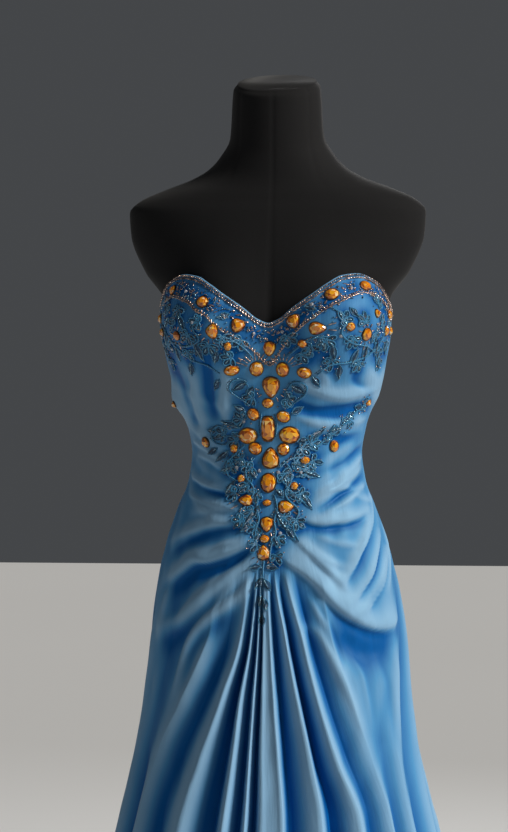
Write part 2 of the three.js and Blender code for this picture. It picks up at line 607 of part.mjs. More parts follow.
function sliderSolid() {
  const body = new THREE.BoxGeometry(SLIDER.wide, SLIDER.thick, SLIDER.high)
    .translate(0, SLIDER.thick / 2, 0);
  const bridge = new THREE.BoxGeometry(BRIDGE.wide, BRIDGE.rise + 1, BRIDGE.high)
    .translate(0, SLIDER.thick + BRIDGE.rise / 2 - 0.5, BRIDGE.high / 2 - PULL.bar - 1.5);
  const openLong = BRIDGE.high - 2 * BRIDGE.wall - 0.4;
  const opening = new THREE.BoxGeometry(SLIDER.wide, BRIDGE.rise - BRIDGE.wall, openLong)
    .translate(0, SLIDER.thick + (BRIDGE.rise - BRIDGE.wall) / 2, BRIDGE.high / 2 - PULL.bar - 1.5);
  return solidFromGeometry(body).add(solidFromGeometry(bridge)).subtract(solidFromGeometry(opening));
}

// Pull tab: a drop-shaped plate with a slot whose top bar runs through the bridge.
function pullGeometry() {
  const outline = new THREE.Shape();
  const half = PULL.wide / 2;
  outline.moveTo(-half, PULL.bar / 2);
  outline.lineTo(half, PULL.bar / 2);
  outline.lineTo(half - 0.6, -PULL.long * 0.45);
  outline.absarc(0, half - PULL.long, half, 0, -Math.PI, true);
  outline.lineTo(0.6 - half, -PULL.long * 0.45);
  outline.closePath();
  const slot = new THREE.Path();
  const side = PULL.slot / 2;
  slot.moveTo(-side, -PULL.bar / 2);
  slot.lineTo(-side, -PULL.slotLong);
  slot.lineTo(side, -PULL.slotLong);
  slot.lineTo(side, -PULL.bar / 2);
  slot.closePath();
  outline.holes.push(slot);
  const extrusion = { depth: PULL.thick, bevelEnabled: false, curveSegments: PULL_POINTS };
  return new THREE.ExtrudeGeometry(outline, extrusion)
    .translate(0, 0, -PULL.thick / 2)
    .rotateX(Math.PI / 2);
}

const gown = new THREE.Group();

function addPiece(name, geometry, material, parent = gown) {
  const mesh = new THREE.Mesh(geometry, MATERIALS[material]);
  mesh.name = name;
  parent.add(mesh);
}

function sewOn(wall, pieces) {
  return pieces.reduce((sum, piece) => sum.add(piece), wall);
}

const beading = [...STONES.map(stoneSolid), ...BODICE_LEAVES.map(leafSolid)];
const bodiceFront = sewOn(bodiceWall(BODICE_FRONT_DEG, NECK_RIM), beading);
const backAngles = Array.from({ length: BODICE_BACK_STEPS + 1 }, (_, i) => (
  THREE.MathUtils.lerp(SIDE_SEAM, 180, i / BODICE_BACK_STEPS)));
addPiece('bodice_front', geometryFrom(bodiceFront), 'satin');
addPiece('bodice_back_right', geometryFrom(bodiceWall(backAngles, 0)), 'satin');
addPiece('bodice_back_left', geometryFrom(bodiceWall(backAngles.map((deg) => -deg).reverse(), 0)), 'satin');

const skirtMiddle = sewOn(skirtWall('left deep valley', 'right deep valley'), TAIL_LEAVES.map(leafSolid));
addPiece('skirt_front_middle', geometryFrom(skirtMiddle), 'satin');
addPiece('skirt_front_left', geometryFrom(skirtWall('side left 2', 'left deep valley')), 'satin');
addPiece('skirt_front_right', geometryFrom(skirtWall('right deep valley', 'side right 2')), 'satin');
addPiece('skirt_back_left', geometryFrom(skirtWall('back middle', 'side left 2')), 'satin');
addPiece('skirt_back_right', geometryFrom(skirtWall('side right 2', 'back middle')), 'satin');

addPiece('zip_strip', geometryFrom(zipWall()), 'zip');
const zipHead = new THREE.Group();
const sliderZ = neckHeight(180) - SLIDER.below;
const backSlope = (gownRadius(180, sliderZ + 6) - gownRadius(180, sliderZ - 6)) / 12;
zipHead.position.set(0, gownRadius(180, sliderZ) + SEAM_GAP, sliderZ);
zipHead.rotation.x = -Math.atan(backSlope);
addPiece('zip_slider', geometryFrom(sliderSolid()), 'metal', zipHead);
const pullPlace = new THREE.Group();
pullPlace.position.set(0, HINGE_OUT, 0);
addPiece('zip_pull', pullGeometry(), 'metal', pullPlace);
zipHead.add(pullPlace);
gown.add(zipHead);

addPiece('dress_form', geometryFrom(formSolid()), 'form');
addPiece('stand_pole', standPole(), 'stand');
addPiece('stand_base', standBase(), 'stand');

export default gown;
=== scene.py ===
# %% [markdown]
# # A beaded evening gown on its dress form
#
# The gown is strapless, with a sweetheart neck, a draped bodice and a skirt whose pleats fan out from
# the point of a deep V. It stands on a black dress form. The solids of the frame give the shape and the
# size. This script lays finer cloth over them, folds it, and sews on the stones, beads and cord.

# %% Load the frame
import math

import bpy
import numpy as np
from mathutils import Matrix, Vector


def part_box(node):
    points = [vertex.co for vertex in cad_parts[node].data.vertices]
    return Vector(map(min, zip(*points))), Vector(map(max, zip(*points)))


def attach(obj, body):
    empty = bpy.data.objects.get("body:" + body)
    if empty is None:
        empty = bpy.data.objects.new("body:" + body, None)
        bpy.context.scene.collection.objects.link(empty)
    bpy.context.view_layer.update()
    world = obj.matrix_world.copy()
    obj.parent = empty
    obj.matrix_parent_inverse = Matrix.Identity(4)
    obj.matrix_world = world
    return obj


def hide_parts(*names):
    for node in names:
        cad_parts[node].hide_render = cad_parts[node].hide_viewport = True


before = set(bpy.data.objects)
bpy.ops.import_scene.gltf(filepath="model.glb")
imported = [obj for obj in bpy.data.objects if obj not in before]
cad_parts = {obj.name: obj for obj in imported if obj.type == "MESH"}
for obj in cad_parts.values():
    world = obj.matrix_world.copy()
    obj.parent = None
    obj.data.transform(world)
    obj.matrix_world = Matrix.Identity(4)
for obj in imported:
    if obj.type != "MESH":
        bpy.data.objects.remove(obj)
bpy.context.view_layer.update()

BODY = "gown_on_form"
MM = 0.001

# %% [markdown]
# ## Camera, light and floor
#
# The photograph was taken level with the hips, from about three metres, with the lens of a portrait.
# One large soft lamp stands high on the viewer's right, so that the folds run from light on the right to
# shade on the left. A weak lamp on the left and a pale room keep the shade open.

# %% Camera
CAMERA_TURN = math.radians(6.5)
CAMERA_AWAY = 3.0
CAMERA_HIGH = 1.097
CAMERA_ASIDE = -0.030
LENS_MM = 100.0

camera_data = bpy.data.cameras.new("camera")
camera_data.lens = LENS_MM
camera_data.sensor_width = 36.0
camera = bpy.data.objects.new("camera", camera_data)
camera.location = (
    math.sin(CAMERA_TURN) * CAMERA_AWAY + math.cos(CAMERA_TURN) * CAMERA_ASIDE,
    -math.cos(CAMERA_TURN) * CAMERA_AWAY + math.sin(CAMERA_TURN) * CAMERA_ASIDE,
    CAMERA_HIGH,
)
camera.rotation_euler = (math.radians(90), 0, CAMERA_TURN)
bpy.context.scene.collection.objects.link(camera)
bpy.context.scene.camera = camera

# %% Lamps
LAMPS = [
    {"name": "fill", "at": (-2.8, -2.2, 1.2), "size": 2.0, "watts": 1, "aim": (0, 0, 0.8)},
    {"name": "back", "at": (0.6, 3.0, 2.6), "size": 1.4, "watts": 30, "aim": (0, 0, 1.1)},
]
KEY = {"from": (3.3, -1.0, 2.2), "strength": 3.5, "softness_deg": 16, "colour": "#fffaf2"}


def linear(hex_colour):
    """Linear red, green, blue and alpha of an sRGB colour."""
    parts = [int(hex_colour[i:i + 2], 16) / 255 for i in (1, 3, 5)]
    return [p / 12.92 if p <= 0.04045 else ((p + 0.055) / 1.055) ** 2.4 for p in parts] + [1.0]


def aim_lamp(lamp, towards):
    """Point a lamp down the line that comes from towards, and put it in the scene."""
    flat = math.hypot(towards[0], towards[1])
    lamp.rotation_euler = (math.atan2(flat, towards[2]), 0, math.atan2(towards[0], -towards[1]))
    bpy.context.scene.collection.objects.link(lamp)


def add_lamp(name, at, size, watts, aim):
    data = bpy.data.lights.new(name, "AREA")
    data.shape = "DISK"
    data.size = size
    data.energy = watts
    lamp = bpy.data.objects.new(name, data)
    lamp.location = at
    aim_lamp(lamp, np.array(at) - np.array(aim))


for lamp_row in LAMPS:
    add_lamp(**lamp_row)
key_data = bpy.data.lights.new("key", "SUN")
key_data.energy = KEY["strength"]
key_data.color = linear(KEY["colour"])[:3]
key_data.angle = math.radians(KEY["softness_deg"])
aim_lamp(bpy.data.objects.new("key", key_data), KEY["from"])
print("lamps", len(LAMPS) + 1)


# %% Node helpers
def add_node(tree, kind, inputs=None, **settings):
    """Node with its settings, and with values or links for its inputs."""
    made = tree.nodes.new(kind)
    for key, value in settings.items():
        setattr(made, key, value)
    for socket, value in (inputs or {}).items():
        if isinstance(value, bpy.types.NodeSocket):
            tree.links.new(value, made.inputs[socket])
        else:
            made.inputs[socket].default_value = value
    return made


def start_material(name):
    material = bpy.data.materials.new(name)
    material.use_nodes = True
    tree = material.node_tree
    return material, tree, tree.nodes["Principled BSDF"]


def two_colours(tree, factor, dark, bright):
    """Colour that goes from one sRGB hex value to another with a pattern."""
    inputs = {0: factor, 6: linear(dark), 7: linear(bright)}
    return add_node(tree, "ShaderNodeMix", inputs, data_type="RGBA").outputs[2]


def multiplied(tree, factor, colour, by):
    inputs = {0: factor, 6: colour, 7: by}
    return add_node(tree, "ShaderNodeMix", inputs, data_type="RGBA", blend_type="MULTIPLY").outputs[2]


def raised(tree, height, strength, depth_m):
    """Normal of a surface that a pattern raises."""
    inputs = {"Height": height, "Strength": strength, "Distance": depth_m}
    return add_node(tree, "ShaderNodeBump", inputs).outputs["Normal"]


def connect(tree, shader, **sockets):
    """Link outputs to the shader's inputs; an underscore in a name stands for a space."""
    for name, output in sockets.items():
        tree.links.new(output, shader.inputs[name.replace("_", " ")])


def set_inputs(shader, values):
    for name, value in values.items():
        shader.inputs[name].default_value = value


# %% Room and floor
ROOM = {"Color": linear("#c9ced4"), "Strength": 0.1}
FLOOR_HALF = 14.0

world = bpy.data.worlds.new("room")
world.use_nodes = True
set_inputs(world.node_tree.nodes["Background"], ROOM)
bpy.context.scene.world = world
bpy.context.scene.view_settings.view_transform = "Standard"

floor_mesh = bpy.data.meshes.new("floor")
floor_mesh.from_pydata(
    [(x * FLOOR_HALF, y * FLOOR_HALF, 0) for x, y in ((-1, -1), (1, -1), (1, 1), (-1, 1))],
    [],
    [(0, 1, 2, 3)],
)
floor = bpy.data.objects.new("floor", floor_mesh)
bpy.context.scene.collection.objects.link(floor)

paint, paint_tree, paint_shader = start_material("studio_floor_paint")
paint_grain = add_node(paint_tree, "ShaderNodeTexNoise", {"Scale": 3.0, "Detail": 4.0})
paint_colour = two_colours(paint_tree, paint_grain.outputs["Fac"], "#d6d7d8", "#dedfe0")
connect(paint_tree, paint_shader, Base_Color=paint_colour)
set_inputs(paint_shader, {"Roughness": 0.7})
floor_mesh.materials.append(paint)
print("floor", 2 * FLOOR_HALF, "m wide")

# %% [markdown]
# ## The shape of the gown
#
# A dressmaker thinks of a gown as measures round the body at each height. Here each height has a half
# width and two depths, a smooth curve joins the heights, and an oval joins the sides. The cups, the
# pleats and the drape folds are then added to that. Sizes are in millimetres, heights are above the
# floor, and an angle goes round the axis from centre front, towards the viewer's right.

# %% Tables of the shape
GOWN_Z = [0, 300, 562, 666, 749, 811, 873, 936, 977, 1019, 1050, 1081, 1123, 1164, 1208, 1247, 1300]
GOWN_HALF = [343, 270, 204, 182, 169.5, 165, 157, 143, 129, 113.5, 110, 114.5, 128.6, 140, 146, 147, 146]
GOWN_FRONT = [308, 238, 177, 152, 134, 121, 113.5, 106, 99, 92, 89, 91, 97, 103, 105, 100, 90]
GOWN_BACK = [321, 248, 181, 154, 135, 127, 124, 114, 100, 86, 80, 81, 87, 93, 98, 100, 101]
OVAL_POWER = 2.2
CUP = {"deg": 41, "z": 1218, "out": 34, "wide_deg": 19, "tall": 50}
HEM_Z = 10
SIDE_SEAM = 88
NECK_DEG = [0, 7, 16, 26, 35, 44, 54, 66, 76, 88, 110, 145, 180]
NECK_Z = [1212, 1217, 1232, 1248, 1262, 1272, 1275, 1265, 1243, 1222, 1203, 1190, 1185]
SEAM_DEG = [0, 30, 60, 88, 180]
SEAM_Z = [898, 944, 980, 1000, 1000]


# %% Shape at any place
def read_curve(places, values, at):
    """Smooth curve through a table that never overshoots it."""
    places, values = np.asarray(places, float), np.asarray(values, float)
    at = np.clip(at, places[0], places[-1])
    slope = np.diff(values) / np.diff(places)
    tangent = np.zeros(len(places))
    before, after = slope[:-1], slope[1:]
    same = before * after > 0
    tangent[1:-1][same] = 2 * before[same] * after[same] / (before[same] + after[same])
    i = np.clip(np.searchsorted(places, at, side="right") - 1, 0, len(places) - 2)
    span = places[i + 1] - places[i]
    t = (at - places[i]) / span
    ease = t * t * (3 - 2 * t)
    bend = tangent[i] * span * t * (1 - t) ** 2 - tangent[i + 1] * span * t * t * (1 - t)
    return values[i] * (1 - ease) + values[i + 1] * ease + bend


def neck_height(deg):
    return read_curve(NECK_DEG, NECK_Z, np.abs(deg))


def seam_height(deg):
    return np.interp(np.abs(deg), SEAM_DEG, SEAM_Z)


def oval_radius(deg, half, depth, power):
    across = np.abs(np.sin(np.radians(deg))) / half
    along = np.abs(np.cos(np.radians(deg))) / depth
    return (across ** power + along ** power) ** (-1 / power)


def cup_swell(deg, z, out):
    across = (np.abs(deg) - CUP["deg"]) / CUP["wide_deg"]
    along = (z - CUP["z"]) / CUP["tall"]
    return out * np.exp(-0.5 * (across ** 2 + along ** 2))


def smooth_radius(deg, z):
    """Distance of the cloth from the axis, before any fold."""
    half = read_curve(GOWN_Z, GOWN_HALF, z)
    depth = np.where(
        np.abs(deg) < 90, read_curve(GOWN_Z, GOWN_FRONT, z), read_curve(GOWN_Z, GOWN_BACK, z)
    )
    return oval_radius(deg, half, depth, OVAL_POWER) + cup_swell(deg, z, CUP["out"])


def place(deg, z, radius):
    """Points of space for places on the gown."""
    turn = np.radians(deg)
    return np.stack([radius * np.sin(turn), -radius * np.cos(turn), z + 0 * radius], axis=-1)


print("waist", 2 * min(GOWN_HALF), "mm wide")

# %% [markdown]
# ## Drape folds
#
# Bias-cut cloth that is pulled across the body breaks into long soft folds. Each one is drawn as a line
# on the gown, with a height and a softness on either side of it, so that a swag can be round above and
# sharp below. They were placed one by one, from the photograph at the front and in the same manner at
# the back.

# %% Fold lines
# Each row: points (degrees, height), how far it stands out, its softness above and below the line.
DRAPES = [
    ([(4, 926), (10, 919), (27, 893), (39.5, 860), (49.4, 842), (60.4, 831), (71, 833), (82, 844)],
     6.4, 16, 2.8),
    ([(26, 884), (38, 852), (49, 832), (61, 820), (72, 822), (82, 832)], -4.5, 4, 9),
    ([(34, 838), (42, 818), (51, 804), (61, 799), (74, 806)], -6.0, 8, 15),
    ([(18, 946), (21.4, 937), (31.3, 916), (40.2, 895), (48, 876)], 3.6, 8, 2.2),
    ([(24, 922), (34, 902), (43, 880)], -1.6, 2.2, 7),
    ([(82, 934), (75.3, 907), (68, 882), (57.8, 858), (48, 845)], 4.6, 9, 2.6),
    ([(80, 924), (72, 896), (63, 872), (54, 854)], -3.0, 2.6, 6),
    ([(78, 956), (71.2, 930), (64.1, 902), (53.7, 875), (44, 857)], 3.8, 7, 2.6),
    ([(76, 944), (69, 917), (61, 889), (51, 866)], -2.6, 2.4, 6),
    ([(73, 984), (67.2, 959), (59.1, 931), (48.6, 898), (40, 880)], 3.4, 7, 3),
    ([(70, 966), (63, 940), (54, 908), (44, 886)], -2.4, 3, 7),
    ([(86, 1000), (79, 980), (70.5, 958), (59.1, 931), (48, 914)], 2.6, 6, 2.2),
    ([(88, 964), (84, 930), (78, 900), (70, 870)], 2.6, 6, 3),
    ([(16, 966), (22.1, 963), (34.3, 956), (48.8, 958), (60.6, 963), (72, 972)], -2.6, 2, 4.5),
    ([(18, 970), (34, 964), (49, 966), (62, 972), (76, 984)], 3.4, 7, 2.4),
    ([(87, 1026), (70, 1013), (54.8, 1000), (44, 989), (33, 977)], -3.2, 3, 6),
    ([(84, 1036), (68, 1024), (52, 1011), (38, 996), (28, 986)], 3.6, 6, 3),
    ([(78, 1008), (64, 998), (50, 986), (36, 974)], 2.2, 4, 2.4),
    ([(88, 1012), (70, 1006), (50.5, 1005), (30.5, 1000)], 2.0, 4, 2),
    ([(88, 1046), (76, 1040), (64, 1028), (52, 1018)], 2.2, 4, 2.2),
    ([(90, 1058), (78, 1056), (66, 1046), (56, 1036), (44, 1028)], -2.2, 2.6, 5),
    ([(-78, 1026), (-62, 1016), (-47.6, 1008), (-36, 1004), (-24, 1002)], 2.6, 5, 1.7),
    ([(-70, 1018), (-52, 1004), (-38, 999), (-22, 997)], -2.2, 2.2, 4),
    ([(-74, 932), (-62, 944), (-53.9, 951), (-38.5, 961), (-21.3, 964), (-12, 962)], 3.2, 7, 2.6),
    ([(-70, 916), (-54, 938), (-38, 950), (-20, 956)], -2.4, 3, 9),
    ([(-60, 972), (-44, 979), (-28, 980), (-14, 974)], 2.0, 6, 3),
    ([(-8, 941), (-14, 936), (-25.7, 926), (-39.6, 916), (-48.4, 915), (-58, 899), (-70, 884)], 6.4, 9, 2.6),
    ([(-9, 930), (-18, 922), (-34, 908), (-46, 904), (-56, 888), (-66, 874)], -5.2, 3, 11),
    ([(-6, 927), (-10.7, 921), (-20.7, 907), (-31.3, 890), (-43.5, 863), (-54.7, 839), (-70, 828)], 7.0, 6, 8),
    ([(-12, 925), (-22, 912), (-33, 897)], -3.2, 4, 2.4),
    ([(-24, 886), (-34, 868), (-44, 842), (-56, 818), (-72, 806)], -3.0, 5, 12),
    ([(-8, 900), (-12.9, 885), (-23.4, 865), (-37, 842), (-45.5, 813), (-48, 780), (-50, 740)], 5.6, 4, 6),
    ([(-22, 856), (-30, 838), (-41, 812), (-44, 780), (-45, 748)], -3.6, 7, 9),
    ([(-66, 1049), (-56, 1045), (-44, 1036), (-30, 1023)], 2.4, 4, 2),
    ([(-84, 1092), (-66, 1080), (-50, 1064), (-36, 1050)], 1.8, 6, 3),
    ([(-26, 1172), (-27.8, 1141), (-32.1, 1110), (-32.6, 1076)], 4.0, 5, 5),
    ([(-36, 1172), (-38, 1148), (-42, 1120), (-40, 1090)], -4.2, 6, 6),
    ([(-50, 1168), (-49, 1141), (-54, 1111), (-52, 1074)], 3.2, 6, 6),
    ([(-62, 1170), (-61, 1140), (-64, 1108), (-60, 1076)], -2.4, 6, 6),
    ([(20, 1138), (25.8, 1132), (45.7, 1120), (66.2, 1127), (84, 1136)], 4.2, 8, 3.4),
    ([(14, 1114), (19.8, 1110), (37.2, 1103), (67.6, 1111), (84, 1118)], -4.4, 4, 7),
    ([(18, 1100), (32, 1088), (48, 1084), (64, 1088), (82, 1096)], 3.4, 6, 3),
    ([(24, 1078), (42, 1070), (60, 1070), (82, 1076)], -2.8, 3, 6),
    ([(56, 1158), (66, 1148), (76, 1146), (86, 1152)], 2.4, 8, 8),
    ([(50, 1146), (60, 1136), (72, 1133)], -2.0, 4, 4),
    ([(28, 1160), (34, 1146), (38, 1132)], 2.4, 5, 5),
    ([(20, 836), (28, 828), (33, 805), (37.8, 771), (42.3, 740), (46, 700)], 4.4, 5, 4),
    ([(56, 812), (60, 780), (58, 740), (56, 690)], 2.6, 8, 8),
    ([(70, 806), (72, 770), (69, 720), (67, 660)], 2.6, 7, 7),
    ([(-60, 800), (-64, 760), (-66, 700), (-66, 640)], 2.6, 8, 8),
    ([(-124, 1104), (-108, 1113), (-92, 1117), (-77, 1110), (-62, 1097)], 9.0, 15, 11),
    ([(62, 1112), (80, 1122), (98, 1126), (120, 1122)], 3.0, 20, 9),
    ([(-76, 1066), (-60, 1060), (-46, 1048), (-32, 1040)], 1.8, 3, 1.6),
    ([(-12, 944), (-20, 938), (-30, 934), (-38, 926)], 1.8, 3, 1.8),
    ([(-16, 920), (-26, 903), (-36, 884), (-46, 866)], -1.8, 2.4, 4),
    ([(-14, 898), (-22, 884), (-30, 866), (-34, 846)], 1.8, 3, 3),
    ([(-58, 900), (-64, 868), (-66, 830), (-64, 780)], 2.2, 5, 5),
    ([(-70, 880), (-76, 840), (-78, 790), (-77, 730)], -2.0, 5, 5),
    ([(30, 862), (36, 836), (40, 806), (41, 780)], -1.8, 3, 3),
    ([(24, 876), (29, 852), (33, 832)], 1.8, 3, 3),
    ([(46, 800), (50, 776), (51, 744), (52, 700)], 1.8, 4, 4),
    ([(62, 790), (65, 760), (64, 720), (63, 670)], -1.6, 4, 4),
    ([(30, 948), (42, 938), (54, 934), (64, 940)], 1.4, 4, 2),
    ([(28, 928), (38, 914), (50, 906)], 1.3, 4, 2),
    ([(60, 1000), (70, 992), (80, 990), (90, 996)], 1.6, 4, 2),
    ([(-70, 1000), (-56, 992), (-44, 986), (-30, 982), (-20, 976)], 1.6, 3, 1.6),
]
# Gathers that fan out from the beading towards each side, one row for each side of the front.
GATHERS = [
    {"side": -1, "count": 7, "centre": (14, 1098), "edge": (84, 1150), "step": -23, "out": 1.1, "soft": 4.5},
    {"side": 1, "count": 7, "centre": (16, 1092), "edge": (84, 1142), "step": -22, "out": 1.2, "soft": 4.5},
]
BACK_DRAPES = [
    {"side": 1, "count": 6, "centre": (172, 1010), "edge": (94, 1110), "step": 24, "out": 1.3, "soft": 6},
    {"side": -1, "count": 6, "centre": (172, 1004), "edge": (94, 1104), "step": 25, "out": 1.2, "soft": 6},
]


def gather_lines(rows, seed):
    """Soft uneven lines from a centre towards an edge, lightly sagging between."""
    random = np.random.default_rng(seed)
    lines = []
    for row in rows:
        for k in range(row["count"]):
            wander = random.uniform(-5, 5, 3)
            (deg_a, z_a), (deg_b, z_b) = row["centre"], row["edge"]
            drop = k * row["step"]
            points = [
                (row["side"] * (deg_a + wander[0]), z_a + drop + wander[1]),
                (row["side"] * (deg_a * 0.6 + deg_b * 0.4), z_a * 0.7 + z_b * 0.3 + drop - 4 + wander[2]),
                (row["side"] * deg_b, z_b + drop * 0.9 + wander[0]),
            ]
            lines.append((points, row["out"] * random.uniform(0.6, 1.4), row["soft"], row["soft"]))
    return lines


FOLD_LINES = DRAPES + gather_lines(GATHERS, seed=3) + gather_lines(BACK_DRAPES, seed=5)

# %% Height of the folds
LINE_STEPS = 28
TAPER_POWER = 0.9
# A fold is left out of the sum farther away than this many times its softness.
FOLD_REACH = 3.2


def smooth_line(points, steps):
    """Evenly spread points on a smooth curve through the given ones."""
    points = np.asarray(points, float)
    tangents = np.gradient(points, axis=0)
    at = np.linspace(0, len(points) - 1, steps)
    i = np.clip(at.astype(int), 0, len(points) - 2)
    t = (at - i)[:, None]
    a, b = points[i], points[i + 1]
    ta, tb = tangents[i], tangents[i + 1]
    return (
        a * (2 * t ** 3 - 3 * t ** 2 + 1)
        + ta * (t ** 3 - 2 * t ** 2 + t)
        + b * (3 * t ** 2 - 2 * t ** 3)
        + tb * (t ** 3 - t ** 2)
    )


def flat_place(deg, z):
    """Place on the gown laid flat, in millimetres, for distances between nearby points."""
    return np.stack([np.radians(deg) * smooth_radius(deg, z), z + 0 * deg], axis=-1)


def line_height(at, line, out, above, below):
    """Height of one fold over flat places at."""
    start, end = line[:-1], line[1:]
    run = end - start
    length = np.maximum((run ** 2).sum(axis=1), 1e-9)
    gap = at[:, None, :] - start[None]
    t = np.clip((gap * run[None]).sum(axis=2) / length, 0, 1)
    away = gap - t[:, :, None] * run[None]
    squared = (away ** 2).sum(axis=2)
    near = squared.argmin(axis=1)
    rows = np.arange(len(at))
    distance = np.sqrt(squared[rows, near])
    over = away[rows, near, 1] > 0
    along = (near + t[rows, near]) / len(run)
    taper = np.sin(np.pi * np.clip(along, 0, 1)).clip(0) ** TAPER_POWER
    soft = np.where(over, above, below)
    return out * taper * np.exp(-0.5 * (distance / soft) ** 2)


PREPARED_LINES = []
for fold_points, fold_out, fold_above, fold_below in FOLD_LINES:
    fold_curve = smooth_line(fold_points, LINE_STEPS)
    flat_curve = flat_place(fold_curve[:, 0], fold_curve[:, 1])
    PREPARED_LINES.append((flat_curve, fold_out, fold_above, fold_below))


def sum_of_lines(deg, z):
    """Height of all the folds at flat arrays of places."""
    at = flat_place(deg, z)
    total = np.zeros(len(at))
    for line, out, above, below in PREPARED_LINES:
        margin = FOLD_REACH * max(above, below)
        inside = np.all((at > line.min(axis=0) - margin) & (at < line.max(axis=0) + margin), axis=1)
        if inside.any():
            total[inside] += line_height(at[inside], line, out, above, below)
    return total


# The folds are worked out once on a lattice, and read from it everywhere else.
LATTICE_DEG = np.linspace(-180, 180, 481)
LATTICE_Z = np.linspace(560, 1300, 371)
LATTICE_PLACES = [part.ravel() for part in np.meshgrid(LATTICE_DEG, LATTICE_Z)]
LATTICE = sum_of_lines(*LATTICE_PLACES).reshape(len(LATTICE_Z), len(LATTICE_DEG))
# The last place that is read stays just inside the lattice.
INSIDE = 1.001


def drape_out(deg, z):
    """Height of the folds at places, between the points of the lattice."""
    column = (deg - LATTICE_DEG[0]) / (LATTICE_DEG[1] - LATTICE_DEG[0])
    column = np.clip(column, 0, len(LATTICE_DEG) - INSIDE)
    row = (z - LATTICE_Z[0]) / (LATTICE_Z[1] - LATTICE_Z[0])
    below = np.clip(row, 0, len(LATTICE_Z) - INSIDE)
    i, j = below.astype(int), column.astype(int)
    u, v = column - j, below - i
    low = LATTICE[i, j] * (1 - u) + LATTICE[i, j + 1] * u
    high = LATTICE[i + 1, j] * (1 - u) + LATTICE[i + 1, j + 1] * u
    return np.where(row < 0, 0, low * (1 - v) + high * v)


print("fold lines", len(PREPARED_LINES))

# %% [markdown]
# ## Pleats of the skirt
#
# The pleats are gathered to the point of the V and open as they fall. Each row below is the crest or
# the valley of one fold: its angle at the seam and at five heights, and how far it stands out at the
# hem. Seams lie in the valleys, where a dressmaker hides them.

# %% Pleat tables
FOLD_HEIGHTS = [820, 742, 672, 600, 10]
FOLD_ROWS = [
    (-180, [-180, -180, -180, -180, -180], -20),
    (-171, [-171, -171, -171, -171, -170], 22),
    (-162, [-162, -162, -162, -162, -159], -20),
    (-153, [-152, -152, -151, -150, -149], 26),
    (-143, [-143, -142, -141, -140, -139], -24),
    (-134, [-133, -132, -131, -131, -130], 20),
    (-124, [-123, -122, -121, -120, -121], -22),
    (-115, [-114, -113, -112, -111, -111], 25),
    (-106, [-105, -104, -102, -101, -101], -20),
    (-97, [-96, -95, -93, -91, -91], 16),
    (-88, [-87, -86, -84, -81, -82], -17),
    (-74, [-72, -74, -74, -72, -74], 19),
    (-60, [-58, -62, -64, -63, -66], -18),
    (-30, [-34, -43, -52, -55, -58], 22),
    (-19, [-24, -34, -43, -48, -50], -20),
    (-12.5, [-15, -22, -28.5, -33, -41], 26),
    (-9, [-12, -17.5, -20.5, -23, -32], -29),
    (-7, [-9, -12.5, -14, -15.5, -24], 22),
    (-5.8, [-7.2, -9.3, -10.2, -11, -18], -18),
    (-4.6, [-5, -6, -6.6, -7, -13], 18),
    (-3.4, [-3.4, -3.8, -4.3, -4.4, -8.5], -17),
    (-2.2, [-2, -1.8, -1.4, -0.8, -4], 18),
    (0, [1.8, 4.2, 6.4, 8, 6], 20),
    (2, [4.6, 7.7, 9.6, 11, 12], -20),
    (4.5, [10.5, 16, 20.3, 23, 22], 24),
    (7.5, [14, 20, 24.5, 29, 30], -28),
    (11, [19.6, 25.5, 31.5, 38, 38.5], 27),
    (17, [25.5, 32.5, 39, 45, 46], -20),
    (30, [36, 42, 48, 52, 54], 20),
    (60, [60, 58, 56, 57, 61], -17),
    (74, [72, 67, 63, 63, 68], 18),
    (88, [82, 76, 71, 70, 75], -17),
    (97, [93, 88, 83, 80, 83], 18),
    (106, [104, 101, 98, 95, 94], -20),
    (115, [114, 112, 110, 108, 106], 24),
    (125, [124, 123, 122, 120, 118], -22),
    (135, [134, 133, 132, 131, 129], 20),
    (145, [144, 144, 143, 142, 140], -24),
    (154, [154, 153, 153, 152, 151], 26),
    (163, [163, 163, 163, 162, 161], -21),
    (171, [171, 171, 171, 171, 170], 22),
    (180, [180, 180, 180, 180, 180], -20),
]
FOLDS = [{"seam": seam, "deg": deg, "out": out} for seam, deg, out in FOLD_ROWS]
GROWTH_Z = [10, 300, 600, 742, 820, 880, 910]
GROWTH = [1, 0.68, 0.42, 0.3, 0.18, 0.06, 0]
# A pressed crease along every crest and valley: its height at some heights of the skirt, its width,
# how far round the front it is crisp, and its share where it is faint.
CREASE_Z = [10, 300, 600, 742, 820, 880, 908]
CREASE_OUT = [1.6, 2.4, 3.4, 4.2, 3.8, 1.8, 0]
CREASE = {"wide": 4.6, "front_deg": 44, "least": 0.25}
# Places where the cloth lies calm over the hip: angle, height, softness of both, and how calm.
CALM = [(62, 715, 20, 115, 0.62), (-70, 720, 16, 100, 0.4), (-27, 862, 11, 34, 0.75)]
# The gap between the back panels, the height where it ends, and how far the cloth round it is smooth.
ZIP = {"half_opening": 2.5, "end": 897, "closes_over": 8, "smooth_deg": 7, "drawn_deg": 12}
# Fold numbers at the edges of each skirt piece, and the node that it stands for.
SKIRT_PIECES = [
    ("skirt_back_left", 0, 10),
    ("skirt_front_left", 10, 16),
    ("skirt_front_middle", 16, 25),
    ("skirt_front_right", 25, 31),
    ("skirt_back_right", 31, 41),
]
FINE_STEP_DEG = 0.85
COARSE_STEP_DEG = 1.7
FEWEST_STEPS = 7
SKIRT_ROWS = 200
ROW_CROWDING = 1.2
# Width in millimetres that the fine wrinkles take each fold to have, so that they run along it.
WRINKLES_FOLLOW = 30
CRUSH = {"out": 0.5, "waves": 5, "seed": 8}


# %% Pleat shapes
def fold_angle(fold, z):
    """Angle of one crest or valley at some heights."""
    places = FOLD_HEIGHTS[::-1] + [float(seam_height(fold["seam"]))]
    return read_curve(places, fold["deg"][::-1] + [fold["seam"]], z)


